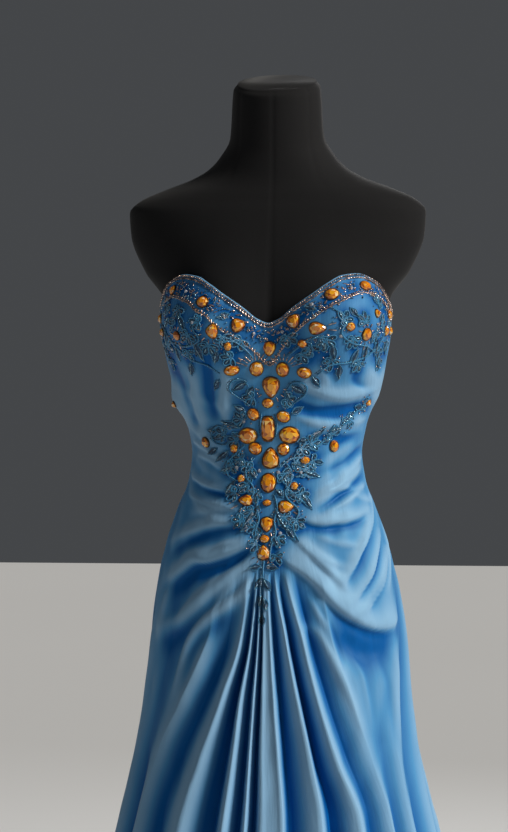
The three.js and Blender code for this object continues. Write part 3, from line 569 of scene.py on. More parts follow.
def crushed(across, along):
    """Gentle uneven waves, as in cloth that has hung and been handled."""
    random = np.random.default_rng(CRUSH["seed"])
    total = np.zeros(np.broadcast(across, along).shape)
    for _ in range(CRUSH["waves"]):
        turn, wave = random.uniform(-0.35, 0.35), random.uniform(18, 60)
        phase = random.uniform(0, 2 * np.pi, 2)
        total += np.sin(2 * np.pi * (across + turn * along) / wave + phase[0]) * np.sin(
            2 * np.pi * along / (wave * 5) + phase[1]
        )
    return total * CRUSH["out"] / math.sqrt(CRUSH["waves"])


def skirt_out(deg, z):
    """How far the pleats stand out from the smooth skirt."""
    shape = np.broadcast(deg, z).shape
    deg = np.broadcast_to(deg, shape).ravel().astype(float)
    z = np.broadcast_to(z, shape).ravel().astype(float)
    angles = np.array([fold_angle(fold, z) for fold in FOLDS])
    outs = np.array([fold["out"] for fold in FOLDS], float)
    number = np.clip((angles <= deg[None]).sum(axis=0) - 1, 0, len(FOLDS) - 2)
    place_in_row = np.arange(len(deg))
    start, end = angles[number, place_in_row], angles[number + 1, place_in_row]
    t = np.clip((deg - start) / np.maximum(end - start, 1e-6), 0, 1)
    ease = t * t * (3 - 2 * t)
    radius = smooth_radius(deg, z)
    from_start = np.radians(np.abs(deg - start)) * radius
    from_end = np.radians(np.abs(end - deg)) * radius
    faded = np.exp(-(from_start + from_end) / CREASE["wide"])
    creases = np.sign(outs[number]) * (np.exp(-from_start / CREASE["wide"]) - faded)
    creases += np.sign(outs[number + 1]) * (np.exp(-from_end / CREASE["wide"]) - faded)
    creases /= 1 - faded + 1e-6
    pleats = read_curve(GROWTH_Z, GROWTH, z) * (outs[number] * (1 - ease) + outs[number + 1] * ease)
    crisp = CREASE["least"] + (1 - CREASE["least"]) * np.exp(-((deg / CREASE["front_deg"]) ** 4))
    pleats += read_curve(CREASE_Z, CREASE_OUT, z) * creases * crisp
    for calm_deg, calm_z, soft_deg, soft_z, amount in CALM:
        away = ((deg - calm_deg) / soft_deg) ** 2 + ((z - calm_z) / soft_z) ** 2
        pleats *= 1 - amount * np.exp(-0.5 * away)
    return pleats.reshape(shape)


def beside_zip(deg, z):
    """Draw the cloth back from the zip, down to its end, so that the teeth show between the edges."""
    opening = ZIP["half_opening"] * np.clip((z - ZIP["end"]) / ZIP["closes_over"], 0, 1)
    share = np.clip((np.abs(deg) - 180 + ZIP["drawn_deg"]) / ZIP["drawn_deg"], 0, 1)
    return deg - np.sign(deg) * share * np.degrees(opening / smooth_radius(180.0, z))


# %% Skirt grid
def skirt_grid(first, last, rows):
    """Angles, heights, outward displacement and fold places of a skirt piece between two folds."""
    down = (np.linspace(0, 1, rows + 1) ** ROW_CROWDING)[:, None]
    columns = []
    for fold_number in range(first, last):
        start, end = FOLDS[fold_number]["seam"], FOLDS[fold_number + 1]["seam"]
        step_deg = FINE_STEP_DEG if abs(start + end) / 2 < SIDE_SEAM else COARSE_STEP_DEG
        steps = max(FEWEST_STEPS, math.ceil((end - start) / step_deg))
        columns += [fold_number + step / steps for step in range(steps)]
    columns = np.array(columns + [last])
    number = np.clip(columns.astype(int), first, last - 1)
    t = (columns - number)[None]
    seams = np.array([fold["seam"] for fold in FOLDS], float)
    seam = seams[number] * (1 - t) + seams[number + 1] * t
    z = seam_height(seam) * (1 - down) + HEM_Z * down
    deg = np.zeros_like(z)
    for index, fold_number in enumerate(number):
        before = fold_angle(FOLDS[fold_number], z[:, index])
        after = fold_angle(FOLDS[fold_number + 1], z[:, index])
        deg[:, index] = before * (1 - t[0, index]) + after * t[0, index]
    return beside_zip(deg, z), z, skirt_out(deg, z), columns * WRINKLES_FOLLOW + 0 * z


print("folds round the skirt", len(FOLDS) - 1)

# %% [markdown]
# ## Where the cloth is stitched and painted with shade
#
# The beading lies on cloth that is covered with stitches of a deeper blue, and the colour there is also
# painted darker, as painted shade from the beading. Its petals stand in small fans, which embroiderers
# call palmettes. The cloth has to know where they are before it is made, so their table comes first.

# %% Palmette table
# Palmette rows: angle, height, turn, number of petals and length. They fan out from the given place.
PALMETTES = [
    (-76, 1230, 100, 4, 14), (-66, 1240, 60, 4, 14), (-72, 1210, 130, 4, 15), (-58, 1228, 20, 4, 15),
    (-47, 1232, 170, 4, 15), (-50, 1212, 60, 3, 14), (-41, 1200, 150, 4, 16), (-35, 1214, 100, 4, 14),
    (-25, 1196, 200, 4, 15), (-16, 1192, 150, 4, 15), (-32, 1186, 170, 4, 16), (-58, 1190, 210, 3, 14),
    (-68, 1190, 170, 3, 14), (-44, 1178, 190, 3, 13), (-22, 1170, 110, 4, 14), (-64, 1168, 180, 3, 13),
    (12, 1196, -150, 4, 15), (20, 1174, -120, 4, 15), (31, 1192, -150, 4, 16), (25, 1184, 170, 3, 14),
    (38, 1216, -60, 4, 15), (44, 1194, -170, 4, 16), (50, 1214, 30, 4, 15), (58, 1200, -120, 4, 15),
    (64, 1214, -60, 4, 15), (62, 1238, -30, 4, 14), (74, 1212, -100, 4, 15), (76, 1190, -170, 3, 14),
    (66, 1182, 180, 3, 14), (36, 1166, 180, 3, 14), (52, 1164, 180, 4, 14), (70, 1168, 180, 3, 13),
    (-12, 1120, 110, 4, 14), (12, 1118, -110, 4, 14), (-20, 1092, 70, 4, 15), (-26, 1066, 100, 4, 15),
    (-36, 1074, 80, 4, 14), (-22, 1044, 110, 4, 15), (-30, 1034, 130, 3, 14), (-14, 1032, 130, 4, 15),
    (-16, 1012, 80, 4, 15), (-26, 1000, 110, 4, 14), (-10, 1000, 150, 4, 14), (-12, 978, 140, 4, 14),
    (-19, 966, 110, 4, 13), (-9, 958, 150, 4, 14), (-8, 936, 150, 3, 12), (24, 1056, -100, 4, 15),
    (32, 1062, -60, 4, 15), (20, 1038, -90, 4, 15), (27, 1030, -120, 4, 14), (33, 1040, -100, 3, 13),
    (10, 1024, -130, 4, 15), (14, 1006, -80, 4, 14), (22, 998, -110, 4, 14), (10, 970, -130, 4, 14),
    (19, 966, -160, 4, 14), (6, 944, -150, 4, 13), (5, 922, -150, 3, 12), (46, 1076, -90, 3, 13),
    (57, 1088, -20, 3, 13), (70, 1112, -60, 3, 12),
]
# Where the cloth is darker round the palmettes and in a band under the neckline: its stitching, and painted
# shade from the beading.
STITCHED_AND_SHADED = {"soft": 9.5, "most": 0.85, "deepens": 0.62, "band": 18, "band_soft": 9, "band_most": 0.6}


def stitched_and_shaded_cloth(deg, z):
    """How far the cloth is covered by stitching and by painted shade from the beading, from 0 to 1, which
    makes it look deeper in colour.
    """
    at = flat_place(deg, z)
    bare_and_unshaded = np.ones(deg.shape)
    for place_deg, place_z, turn, _, long in PALMETTES:
        towards = np.array([-math.sin(math.radians(turn)), math.cos(math.radians(turn))])
        middle = flat_place(place_deg, place_z) + towards * long / 2
        squared = ((at - middle) ** 2).sum(axis=-1)
        bare_and_unshaded *= 1 - STITCHED_AND_SHADED["most"] * np.exp(-0.5 * squared / STITCHED_AND_SHADED["soft"] ** 2)
    from_band = (neck_height(deg) - z - STITCHED_AND_SHADED["band"]) / STITCHED_AND_SHADED["band_soft"]
    under_neck = np.exp(-0.5 * from_band ** 2) * (np.abs(deg) < SIDE_SEAM)
    return 1 - bare_and_unshaded * (1 - STITCHED_AND_SHADED["band_most"] * under_neck)


print("palmettes", len(PALMETTES))

# %% [markdown]
# ## From grids to cloth
#
# Every panel is a grid of points on the gown, thickened a little more than real satin so that its edges
# catch the light. Each point also remembers whether it lies on a crest or in a valley: cloth in a valley is
# lit by the cloth beside it, so its colour is painted deeper there as painted shade, and paler on a crest as
# painted light.

# %% Piece and grid helpers
def make_piece(name, points, faces, material, smooth=True, body=BODY):
    """Object of the given points in millimetres, riding on a body."""
    mesh = bpy.data.meshes.new(name)
    mesh.from_pydata((np.asarray(points) * MM).tolist(), [], [tuple(face) for face in faces])
    mesh.materials.append(material)
    mesh.polygons.foreach_set("use_smooth", [smooth] * len(mesh.polygons))
    mesh.update()
    made = bpy.data.objects.new(name, mesh)
    bpy.context.scene.collection.objects.link(made)
    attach(made, body)
    return made


def grid_faces(rows, columns, closed=False):
    """Corners of the faces of a grid of points, which may close on itself across."""
    last_column = columns if closed else columns - 1
    row, column = np.meshgrid(np.arange(rows - 1), np.arange(last_column), indexing="ij")
    after = (column + 1) % columns
    corners = [row * columns + column, (row + 1) * columns + column, (row + 1) * columns + after,
               row * columns + after]
    return np.stack(corners, axis=-1).reshape(-1, 4)


def store_points(mesh, name, values):
    """Keep a number with each point, for a material to read."""
    attribute = mesh.attributes.new(name, "FLOAT", "POINT")
    attribute.data.foreach_set("value", np.asarray(values, np.float32).ravel())


def sharpen_border(mesh, rows, columns):
    """Keep the shading of the cut edges apart from that of the cloth, so that seams stay hidden."""
    ends = np.zeros(len(mesh.edges) * 2, np.int32)
    mesh.edges.foreach_get("vertices", ends)
    row, column = np.divmod(ends.reshape(-1, 2), columns)
    on_border = np.zeros(len(row), bool)
    for side in (row == 0, row == rows - 1, column == 0, column == columns - 1):
        on_border |= side.all(axis=1)
    attribute = mesh.attributes.new("sharp_edge", "BOOLEAN", "EDGE")
    attribute.data.foreach_set("value", on_border)


def store_flat(mesh, name, across, along):
    """Keep where each point lies on flat cloth, in metres, as a UV layer."""
    layer = mesh.uv_layers.new(name=name)
    loops = np.zeros(len(mesh.loops), np.int32)
    mesh.loops.foreach_get("vertex_index", loops)
    flat = np.stack([across, along], axis=-1).reshape(-1, 2)[loops] * MM
    layer.data.foreach_set("uv", flat.astype(np.float32).ravel())


# %% Cloth maker
CLOTH_THICK = 1.2
# Height of a fold, in millimetres, that counts as a full crest on the bodice, and what deep pleats add.
FOLD_SCALE = 3.2
PLEAT_SCALE = 12
DRAPE_COUNTS = 1.5


def cloth_piece(name, node_name, deg, z, out, hang=None):
    """Thickened panel of cloth from its grid, standing for one node of the frame."""
    across = np.radians(deg) * smooth_radius(deg, z)
    drape = drape_out(deg, z)
    soft = crushed(across, z) * (1 - np.exp(-(((180 - np.abs(deg)) / ZIP["smooth_deg"]) ** 2)))
    points = place(deg, z, smooth_radius(deg, z) + drape + out + soft)
    rows, columns = deg.shape
    made = make_piece(name, points.reshape(-1, 3), grid_faces(rows, columns), satin)
    depth = FOLD_SCALE + PLEAT_SCALE * read_curve(GROWTH_Z, GROWTH, z)
    # The colour is painted deeper in the valleys and paler on the crests: painted shade and painted light from
    # the cloth around.
    crest = 0.5 + 0.5 * np.tanh((drape * DRAPE_COUNTS + out + soft) / depth)
    # The cloth under and round the beading is darkened further: partly its deeper stitching, partly painted
    # shade from the beading.
    crest -= STITCHED_AND_SHADED["deepens"] * stitched_and_shaded_cloth(deg, z)
    sharpen_border(made.data, rows, columns)
    store_points(made.data, "crest", crest)
    store_flat(made.data, "cut", across, z)
    store_flat(made.data, "hang", across if hang is None else hang, z)
    thicken = made.modifiers.new("thickness", "SOLIDIFY")
    thicken.thickness = CLOTH_THICK * MM
    thicken.offset = -1
    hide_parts(node_name)


# %% [markdown]
# ## Satin-backed crepe
#
# The cloth is a polyester satin-backed crepe. Its long floats give a soft sheen along the folds, and it
# is brighter at a glancing angle. The yarns are 0.1 mm apart, too fine to show, so the weave is drawn
# 0.8 mm wide. Handling leaves shallow wrinkles that run down the folds.

# %% Cloth material
YARN_DRAWN_M = 0.0008
# Width of one diagonal band of the wave texture at scale 1.
DIAGONAL_WAVE = 0.628
WRINKLE_WIDE_M = 0.012
WRINKLE_STRETCH = 0.14
CLOUDS_IN_A_METRE = 22.0


def satin_material():
    material, tree, shader = start_material("satin_backed_crepe")
    # The crest value sets painted shade in the valleys and painted light on the crests, from deep to pale
    # blue.
    crest = add_node(tree, "ShaderNodeAttribute", attribute_name="crest")
    tone = add_node(tree, "ShaderNodeValToRGB", {"Fac": crest.outputs["Fac"]})
    ramp = tone.color_ramp
    ramp.elements[0].position = 0.13
    ramp.elements[0].color = linear("#0057a0")
    ramp.elements[1].position = 0.9
    ramp.elements[1].color = linear("#8ab4d6")
    middle = ramp.elements.new(0.5)
    middle.color = linear("#4f90c3")
    cut = add_node(tree, "ShaderNodeUVMap", uv_map="cut")
    hang = add_node(tree, "ShaderNodeUVMap", uv_map="hang")
    stretch = {"Vector": hang.outputs["UV"], "Scale": (1.0, WRINKLE_STRETCH, 1.0)}
    long_way = add_node(tree, "ShaderNodeMapping", stretch)
    wrinkle = add_node(
        tree, "ShaderNodeTexNoise",
        {"Vector": long_way.outputs["Vector"], "Scale": 1 / WRINKLE_WIDE_M, "Detail": 3.0, "Roughness": 0.55},
    )
    clouds = {"Vector": cut.outputs["UV"], "Scale": CLOUDS_IN_A_METRE, "Detail": 3.0}
    cloudy = add_node(tree, "ShaderNodeTexNoise", clouds)
    patchy = two_colours(tree, cloudy.outputs["Fac"], "#eef2f4", "#ffffff")
    yarn = add_node(
        tree, "ShaderNodeTexWave",
        {"Vector": cut.outputs["UV"], "Scale": DIAGONAL_WAVE / YARN_DRAWN_M, "Distortion": 1.5, "Detail": 2.0},
        bands_direction="DIAGONAL",
    )
    wrinkle_bump = add_node(
        tree, "ShaderNodeBump",
        {"Height": wrinkle.outputs["Fac"], "Strength": 0.6, "Distance": 0.0016,
         "Normal": raised(tree, yarn.outputs["Fac"], 0.06, 0.0003)},
    )
    worn = {"Value": wrinkle.outputs["Fac"], "To Min": 0.42, "To Max": 0.54}
    roughness = add_node(tree, "ShaderNodeMapRange", worn)
    connect(
        tree, shader,
        Base_Color=multiplied(tree, 1.0, tone.outputs["Color"], patchy),
        Normal=wrinkle_bump.outputs["Normal"],
        Roughness=roughness.outputs["Result"],
    )
    set_inputs(shader, {
        "Specular IOR Level": 0.27, "Specular Tint": linear("#9ad6ee"), "Sheen Weight": 0.04,
        "Sheen Roughness": 0.35, "Sheen Tint": linear("#cfe9f4"), "Anisotropic": 0.4,
    })
    return material


satin = satin_material()

# %% Skirt
for node_name, first, last in SKIRT_PIECES:
    cloth_piece(node_name + "_cloth", node_name, *skirt_grid(first, last, SKIRT_ROWS))

# %% Bodice
BODICE_ROWS = 170
FRONT_COLUMNS = 170
BACK_COLUMNS = 70


def bodice_grid(deg_from, deg_to, columns):
    """Angles and heights between the neckline and the waist seam."""
    down = np.linspace(0, 1, BODICE_ROWS + 1)[:, None]
    deg = np.linspace(deg_from, deg_to, columns + 1)[None] + 0 * down
    z = neck_height(deg) * (1 - down) + seam_height(deg) * down
    return beside_zip(deg, z), z


for node_name, deg_from, deg_to, columns in (
    ("bodice_front", -SIDE_SEAM, SIDE_SEAM, FRONT_COLUMNS),
    ("bodice_back_right", SIDE_SEAM, 180, BACK_COLUMNS),
    ("bodice_back_left", -180, -SIDE_SEAM, BACK_COLUMNS),
):
    grid_deg, grid_z = bodice_grid(deg_from, deg_to, columns)
    cloth_piece(node_name + "_cloth", node_name, grid_deg, grid_z, 0 * grid_z)


# %% [markdown]
# ## Places on the gown
#
# Beading is sewn through the cloth, so every stone and bead needs a point of the cloth, the direction
# that faces outward there, and two directions along the cloth. One function gives all four, and the
# makers of stones, beads and cords below share it.

# %% Surface helper
SMALL_TURN_DEG = 0.4
SMALL_RISE = 0.8


def on_cloth(deg, z, out=0.0):
    """Points at a height above the cloth."""
    deg, z = np.atleast_1d(np.asarray(deg, float)), np.atleast_1d(np.asarray(z, float))
    pleats = np.zeros(np.broadcast(deg, z).shape)
    low = z < seam_height(deg)
    if low.any():
        pleats[low] = skirt_out(deg[low], z[low])
    return place(deg, z, smooth_radius(deg, z) + drape_out(deg, z) + pleats + out)


def unit(vectors):
    return vectors / np.maximum(np.linalg.norm(vectors, axis=-1, keepdims=True), 1e-12)


def cloth_axes(deg, z):
    """Right, up and outward directions of the cloth at places."""
    right = unit(on_cloth(deg + SMALL_TURN_DEG, z) - on_cloth(deg - SMALL_TURN_DEG, z))
    rise = on_cloth(deg, z + SMALL_RISE) - on_cloth(deg, z - SMALL_RISE)
    outward = unit(np.cross(right, rise))
    return right, unit(np.cross(outward, right)), outward


def turned_axes(deg, z, turn):
    """The same, turned on the cloth so that up points along turn (0 up, 90 to the viewer's left)."""
    right, up, outward = cloth_axes(deg, z)
    cos, sin = np.cos(np.radians(turn))[:, None], np.sin(np.radians(turn))[:, None]
    return right * cos + up * sin, up * cos - right * sin, outward


def join_copies(template, faces, centres, right, up, outward, sizes):
    """Points and faces of many copies of one small shape, each with its own place, axes and size."""
    shaped = template[None] * sizes[:, None, :]
    points = (
        centres[:, None]
        + shaped[:, :, :1] * right[:, None]
        + shaped[:, :, 1:2] * up[:, None]
        + shaped[:, :, 2:3] * outward[:, None]
    ).reshape(-1, 3)
    steps = np.arange(len(centres)) * len(template)
    joined = [tuple(int(corner) + int(step) for corner in face) for step in steps for face in faces]
    return points, joined


WALK_STEPS = 240
HALF_STRIDE = 0.5


def walk(points, spacing, out=0.0):
    """Places every spacing millimetres along a smooth line on the cloth, with the line's direction."""
    line = smooth_line(points, WALK_STEPS)
    on_it = on_cloth(line[:, 0], line[:, 1], out)
    run = np.concatenate([[0], np.cumsum(np.linalg.norm(np.diff(on_it, axis=0), axis=1))])
    at = np.arange(spacing / 2, run[-1], spacing)
    deg = np.interp(at, run, line[:, 0])
    z = np.interp(at, run, line[:, 1])
    centres, ahead, behind = (
        np.stack([np.interp(at + stride, run, on_it[:, k]) for k in range(3)], axis=-1)
        for stride in (0, HALF_STRIDE, -HALF_STRIDE)
    )
    return deg, z, centres, unit(ahead - behind)


# %% [markdown]
# ## Stones
#
# The stones are cut glass with a foil back, in amber and topaz colours. Foil sends light back through the
# facets, and each facet here carries its own tone, at random from dark brown to bright yellow and near
# white: painted reflections and painted glints. Each stone sits in a dark metal cup with claws.

# %% Stone tables
# Each row: angle, height, width, length, turn and cut.
STONES = [
    (-57.4, 1257, 10, 13, 0, "oval"), (-34.8, 1240, 15, 15, 0, "oval"), (-17.5, 1211, 17, 17, 35, "pear"),
    (0.5, 1181, 16, 18, 180, "pear"), (15.6, 1216, 16, 18, -35, "pear"), (35.1, 1249, 18, 15, 20, "oval"),
    (55.6, 1261, 18, 13, 0, "oval"), (76, 1226, 11, 14, 0, "oval"), (71, 1205, 10, 13, 0, "oval"),
    (-72, 1222, 10, 13, 0, "oval"), (-66, 1204, 9, 11, 0, "oval"), (80, 1206, 9, 11, 0, "oval"),
    (-48.2, 1198, 11, 12, 0, "oval"), (-29.4, 1203, 18, 15, 90, "pear"), (-23, 1184, 9, 11, 0, "oval"),
    (27.2, 1206, 15, 21, -90, "pear"), (20.5, 1187, 12, 10, 0, "oval"), (41.9, 1208, 12, 11, 0, "oval"),
    (51.7, 1199, 16, 16, 0, "oval"), (59.4, 1226, 9, 11, 0, "oval"),
    (-8, 1156, 17, 18, 0, "oval"), (9.5, 1155, 16, 18, 0, "oval"), (-23, 1154, 19, 13, 10, "oval"),
    (22.9, 1151, 18, 14, -10, "oval"), (1.6, 1133, 20, 26, 180, "pear"), (-1, 1113, 14, 12, 0, "oval"),
    (-12.2, 1099, 14, 16, 30, "oval"), (10.7, 1096, 17, 14, -20, "oval"), (-1.3, 1081, 17, 31, 0, "oblong"),
    (-17.2, 1072, 23, 20, 0, "oval"), (15.5, 1073, 25, 21, 0, "oval"), (-11.7, 1056, 17, 15, -30, "oval"),
    (11, 1055, 15, 15, 30, "oval"), (0.7, 1044, 20, 26, 0, "pear"), (-52.6, 1063, 13, 14, 0, "oval"),
    (-28.5, 1056, 10, 11, 0, "oval"), (50, 1059, 13, 14, 0, "oval"), (27.6, 1041, 12, 10, 0, "oval"),
    (-0.9, 1013, 19, 24, 0, "oval"), (-22, 1018, 10, 10, 0, "oval"), (18.7, 1009, 10, 10, 0, "oval"),
    (-17.4, 991, 14, 18, 90, "pear"), (-1.6, 988, 11, 8, 0, "oval"), (12.3, 983, 15, 19, -90, "pear"),
    (-1.3, 961, 15, 19, 180, "pear"), (-2.6, 943, 12, 10, 0, "oval"), (-3.2, 926, 15, 19, 0, "pear"),
    (73.5, 1114, 10, 10, 0, "oval"), (-80, 1112, 9, 9, 0, "oval"),
]
STONE_SIDES = 8
STONE_LIFT = 4.2
SEAT = 0.8
# A stone at least this long has its full height, and a smaller one loses up to this share of it.
FULL_HEIGHT_LONG = 14
HEIGHT_LOST = 0.3


# %% Stone shapes
def outline(cut, turn):
    """Points round a unit outline with its tip at the top."""
    if cut == "oblong":
        return np.sign(np.sin(turn)) * np.abs(np.sin(turn)) ** 0.5, np.cos(turn)
    if cut == "pear":
        return np.sin(turn) * (1 - 0.38 * np.cos(turn)), np.cos(turn)
    if cut == "leaf":
        return np.sin(turn) ** 3 * (1 - 0.2 * np.cos(turn)), np.cos(turn)
    return np.sin(turn), np.cos(turn)


def stone_rings(cut, sides, levels):
    """Rings of a cut stone: each level is a scale, a height and a part of a step that it is turned by."""
    rings = []
    for scale, height, shift in levels:
        turn = 2 * np.pi * (np.arange(sides) + shift) / sides
        u, v = outline(cut, turn)
        rings.append(np.stack([u * scale, v * scale, np.full(sides, height)], axis=-1))
    return rings


def stone_faces(sides, rings):
    """Facets between the rings, and the flat table on top."""
    faces = []
    for ring in range(rings - 1):
        low, high = ring * sides, (ring + 1) * sides
        for i in range(sides):
            after = (i + 1) % sides
            faces += [(low + i, high + i, low + after), (low + after, high + i, high + after)]
    faces.append(tuple(range((rings - 1) * sides, rings * sides))[::-1])
    return faces


def all_stones(rows, levels, sides, lift=STONE_LIFT):
    """Points and faces of one shape at each row's place, size, turn and cut."""
    points, faces = [], []
    count = 0
    for deg, z, wide, long, turn, cut in rows:
        rings = np.vstack(stone_rings(cut, sides, levels))
        right, up, outward = turned_axes(np.array([deg]), np.array([z]), np.array([turn]))
        share = min(1.0, max(wide, long) / FULL_HEIGHT_LONG)
        height = lift * (1 - HEIGHT_LOST + HEIGHT_LOST * share)
        centre = on_cloth(deg, z, SEAT)[0]
        local = rings * np.array([wide / 2, long / 2, height])
        points.append(centre + local[:, :1] * right + local[:, 1:2] * up + local[:, 2:3] * outward)
        faces += [tuple(corner + count for corner in face) for face in stone_faces(sides, len(levels))]
        count += len(rings)
    return np.vstack(points), [face[::-1] for face in faces]


# %% Stone materials
CLOUDING = {"Scale": 120.0, "Detail": 1.0}


def glass_stone(name, dark, deep, middle, bright, painted_glint):
    material, tree, shader = start_material(name)
    # Facet tones run from dark brown to the glint colour: painted reflections and painted glints, at random
    # per facet.
    facet = add_node(tree, "ShaderNodeAttribute", attribute_name="facet")
    tone = add_node(tree, "ShaderNodeValToRGB", {"Fac": facet.outputs["Fac"]})
    ramp = tone.color_ramp
    ramp.elements[0].color = linear(dark)
    ramp.elements[1].color = linear(painted_glint)
    for position, hex_colour in ((0.3, deep), (0.6, middle), (0.86, bright)):
        ramp.elements.new(position).color = linear(hex_colour)
    cloud = add_node(tree, "ShaderNodeTexNoise", CLOUDING)
    depth = two_colours(tree, cloud.outputs["Fac"], "#c98a50", "#ffffff")
    connect(tree, shader, Base_Color=multiplied(tree, 0.4, tone.outputs["Color"], depth))
    set_inputs(shader, {"Roughness": 0.09, "IOR": 1.55, "Coat Weight": 1.0, "Coat Roughness": 0.03})
    return material


# The last colour of each glass is its painted glint; the others are painted reflections of the facets.
amber_glass = glass_stone("foiled_amber_glass", "#8a3a02", "#d67304", "#f8a00c", "#ffcb2c", "#fff4d2")
clear_glass = glass_stone("clear_cut_glass", "#2f3f52", "#6a7f97", "#a9bccd", "#d3d9e8", "#ffffff")

# %% Amber stones
TABLE_TONES = (0.42, 0.8)
# Rings of a cut stone from its edge to its table: share of its outline, height and turn.
CROWN = [(1.0, -0.25, 0.0), (1.0, 0.1, 0.0), (0.7, 0.62, 0.5), (0.4, 0.96, 0.0)]


def tone_facets(piece, stone_count, seed):
    """Painted reflection of each facet, as a tone; the flat table on top of a stone keeps to the middle tones.
    """
    random = np.random.default_rng(seed)
    tones = random.random((stone_count, len(piece.data.polygons) // stone_count))
    tones[:, -1] = random.uniform(*TABLE_TONES, stone_count)
    attribute = piece.data.attributes.new("facet", "FLOAT", "FACE")
    attribute.data.foreach_set("value", tones.ravel().astype(np.float32))


stones = make_piece("amber_stones", *all_stones(STONES, CROWN, STONE_SIDES), amber_glass, smooth=False)
tone_facets(stones, len(STONES), seed=11)
print("stones", len(STONES))

# %% [markdown]
# ## Settings
#
# Each stone is held by a cup of dark bronze, pressed from thin sheet, whose rim shows as a narrow dark
# line. It is made as a ring with a rounded edge, from the same outline as its stone.

# %% Settings
def bronze():
    material, tree, shader = start_material("pressed_bronze")
    tarnish = add_node(tree, "ShaderNodeTexNoise", {"Scale": 300.0, "Detail": 3.0})
    connect(tree, shader, Base_Color=two_colours(tree, tarnish.outputs["Fac"], "#4a3322", "#8a6544"))
    set_inputs(shader, {"Metallic": 1.0, "Roughness": 0.34})
    return material


CUP_RIM = [(1.0, -0.6, 0.0), (1.08, -0.3, 0.0), (1.08, 0.08, 0.0), (1.03, 0.24, 0.0), (0.97, 0.2, 0.0)]
CUP_SIDES = STONE_SIDES * 3
settings = make_piece("stone_settings", *all_stones(STONES, CUP_RIM, CUP_SIDES), bronze())
print("settings", len(STONES))

# %% [markdown]
# ## Cord, leaves and beads
#
# The scrolls are couched cord: a twisted cord of shining dark teal rayon, laid on the cloth and caught
# down. Leaves and petals are outlined in cord and filled with raised satin stitch, and a small scroll
# starts at the foot of each fan of petals. Glass tubes called bugle beads and small round seed beads run
# along the neckline, the leaf veins and the petals.

# %% Leaf and stem tables
# Leaf rows: angle and height of the middle, length and turn.
LEAVES = [
    (-44, 1214, 24, 205), (-60, 1196, 24, 165), (-38, 1178, 26, 190), (-20, 1134, 24, 120),
    (20, 1130, 24, -120), (36, 1176, 26, -160), (48, 1170, 24, 170), (62, 1184, 24, -165),
    (-30, 1086, 26, 70), (-40, 1070, 24, 100), (-38, 1046, 24, 130), (36, 1074, 24, -50),
    (56, 1092, 22, -60), (32, 1024, 24, -110), (-30, 1006, 24, 150), (27, 990, 24, -150),
    (-14, 968, 22, 150), (10, 962, 22, -150), (-6, 888, 18, 150), (-0.5, 886, 18, -150),
    (-4.6, 866, 17, 168), (-1.4, 862, 17, -165), (-3, 842, 18, 180),
    (-52, 1176, 20, 175), (-30, 1170, 18, 160), (-66, 1178, 18, 190), (-46, 1156, 18, 160),
    (-56, 1216, 16, 140), (-24, 1222, 14, 110), (24, 1232, 14, -110), (44, 1226, 16, -140),
    (54, 1176, 20, -170), (68, 1164, 20, 175), (72, 1186, 18, 165), (30, 1186, 16, -140),
    (42, 1152, 20, -165), (-34, 1136, 18, 140), (30, 1140, 18, -140), (-13, 1128, 16, 150),
    (14, 1122, 16, -150), (-22, 1106, 18, 60), (21, 1104, 18, -60), (-26, 1072, 14, 90),
    (26, 1066, 16, -80), (-34, 1030, 20, 110), (-24, 1038, 16, 60), (22, 1036, 16, -100),
    (-20, 1004, 16, 130), (-13, 1024, 14, 40), (12, 1020, 14, -40), (18, 996, 16, -120),
    (-10, 998, 14, 140), (8, 1000, 14, -140), (-16, 958, 18, 140), (15, 950, 20, -150),
    (-9, 978, 16, 160), (7, 972, 16, -160), (-8, 944, 14, 150), (5, 940, 14, -160),
    (44, 1066, 14, -60), (48, 1080, 14, -80), (60, 1098, 14, -50), (66, 1108, 14, -100),
    (-46, 1052, 16, 120), (-46, 1078, 14, 80), (-8.5, 908, 15, 100), (2.5, 908, 15, -100),
]
# Stem rows: places that the cord passes.
STEMS = [
    [(37, 1060), (44, 1067), (50, 1077), (53, 1084), (58, 1093), (65, 1103), (72, 1107), (78, 1115)],
    [(-24, 1088), (-32, 1082), (-40, 1084), (-46, 1076), (-44, 1064), (-36, 1060), (-32, 1066)],
    [(-20, 1060), (-28, 1048), (-34, 1036), (-32, 1022), (-24, 1016), (-20, 1024)],
    [(8, 1032), (16, 1042), (24, 1044), (30, 1036), (28, 1024), (20, 1020)],
    [(-12, 1044), (-18, 1034), (-18, 1020), (-12, 1006), (-14, 990), (-20, 976), (-16, 962)],
    [(12, 1040), (17, 1028), (16, 1012), (12, 1002), (14, 992), (21, 978), (17, 958), (20, 940)],
    [(-6, 1000), (-9, 984), (-7, 968), (-9, 952), (-8, 936), (-5, 918)],
    [(4, 998), (6, 982), (4, 966), (5, 950), (2, 934), (1, 918)],
    [(-14, 1110), (-20, 1118), (-26, 1128), (-24, 1140), (-17, 1142), (-14, 1134)],
    [(13, 1106), (19, 1114), (25, 1124), (24, 1136), (17, 1139), (13, 1130)],
    [(-30, 1150), (-36, 1160), (-44, 1168), (-52, 1186), (-60, 1206), (-68, 1216)],
    [(-34, 1224), (-38, 1208), (-36, 1192), (-44, 1184), (-54, 1190), (-62, 1182)],
    [(30, 1148), (36, 1160), (46, 1164), (56, 1172), (64, 1186), (70, 1204)],
    [(34, 1232), (40, 1218), (38, 1200), (44, 1188), (54, 1184), (64, 1176)],
    [(-6, 1100), (-7, 1086), (-6, 1070)],
    [(5, 1100), (6, 1086), (5, 1070)],
    [(-2.6, 918), (-3.2, 904), (-3, 888), (-3.2, 870), (-3, 852), (-3, 834)],
    [(-10, 1170), (-14, 1180), (-20, 1190), (-28, 1188)],
    [(12, 1170), (16, 1178), (24, 1192), (32, 1196)],
]
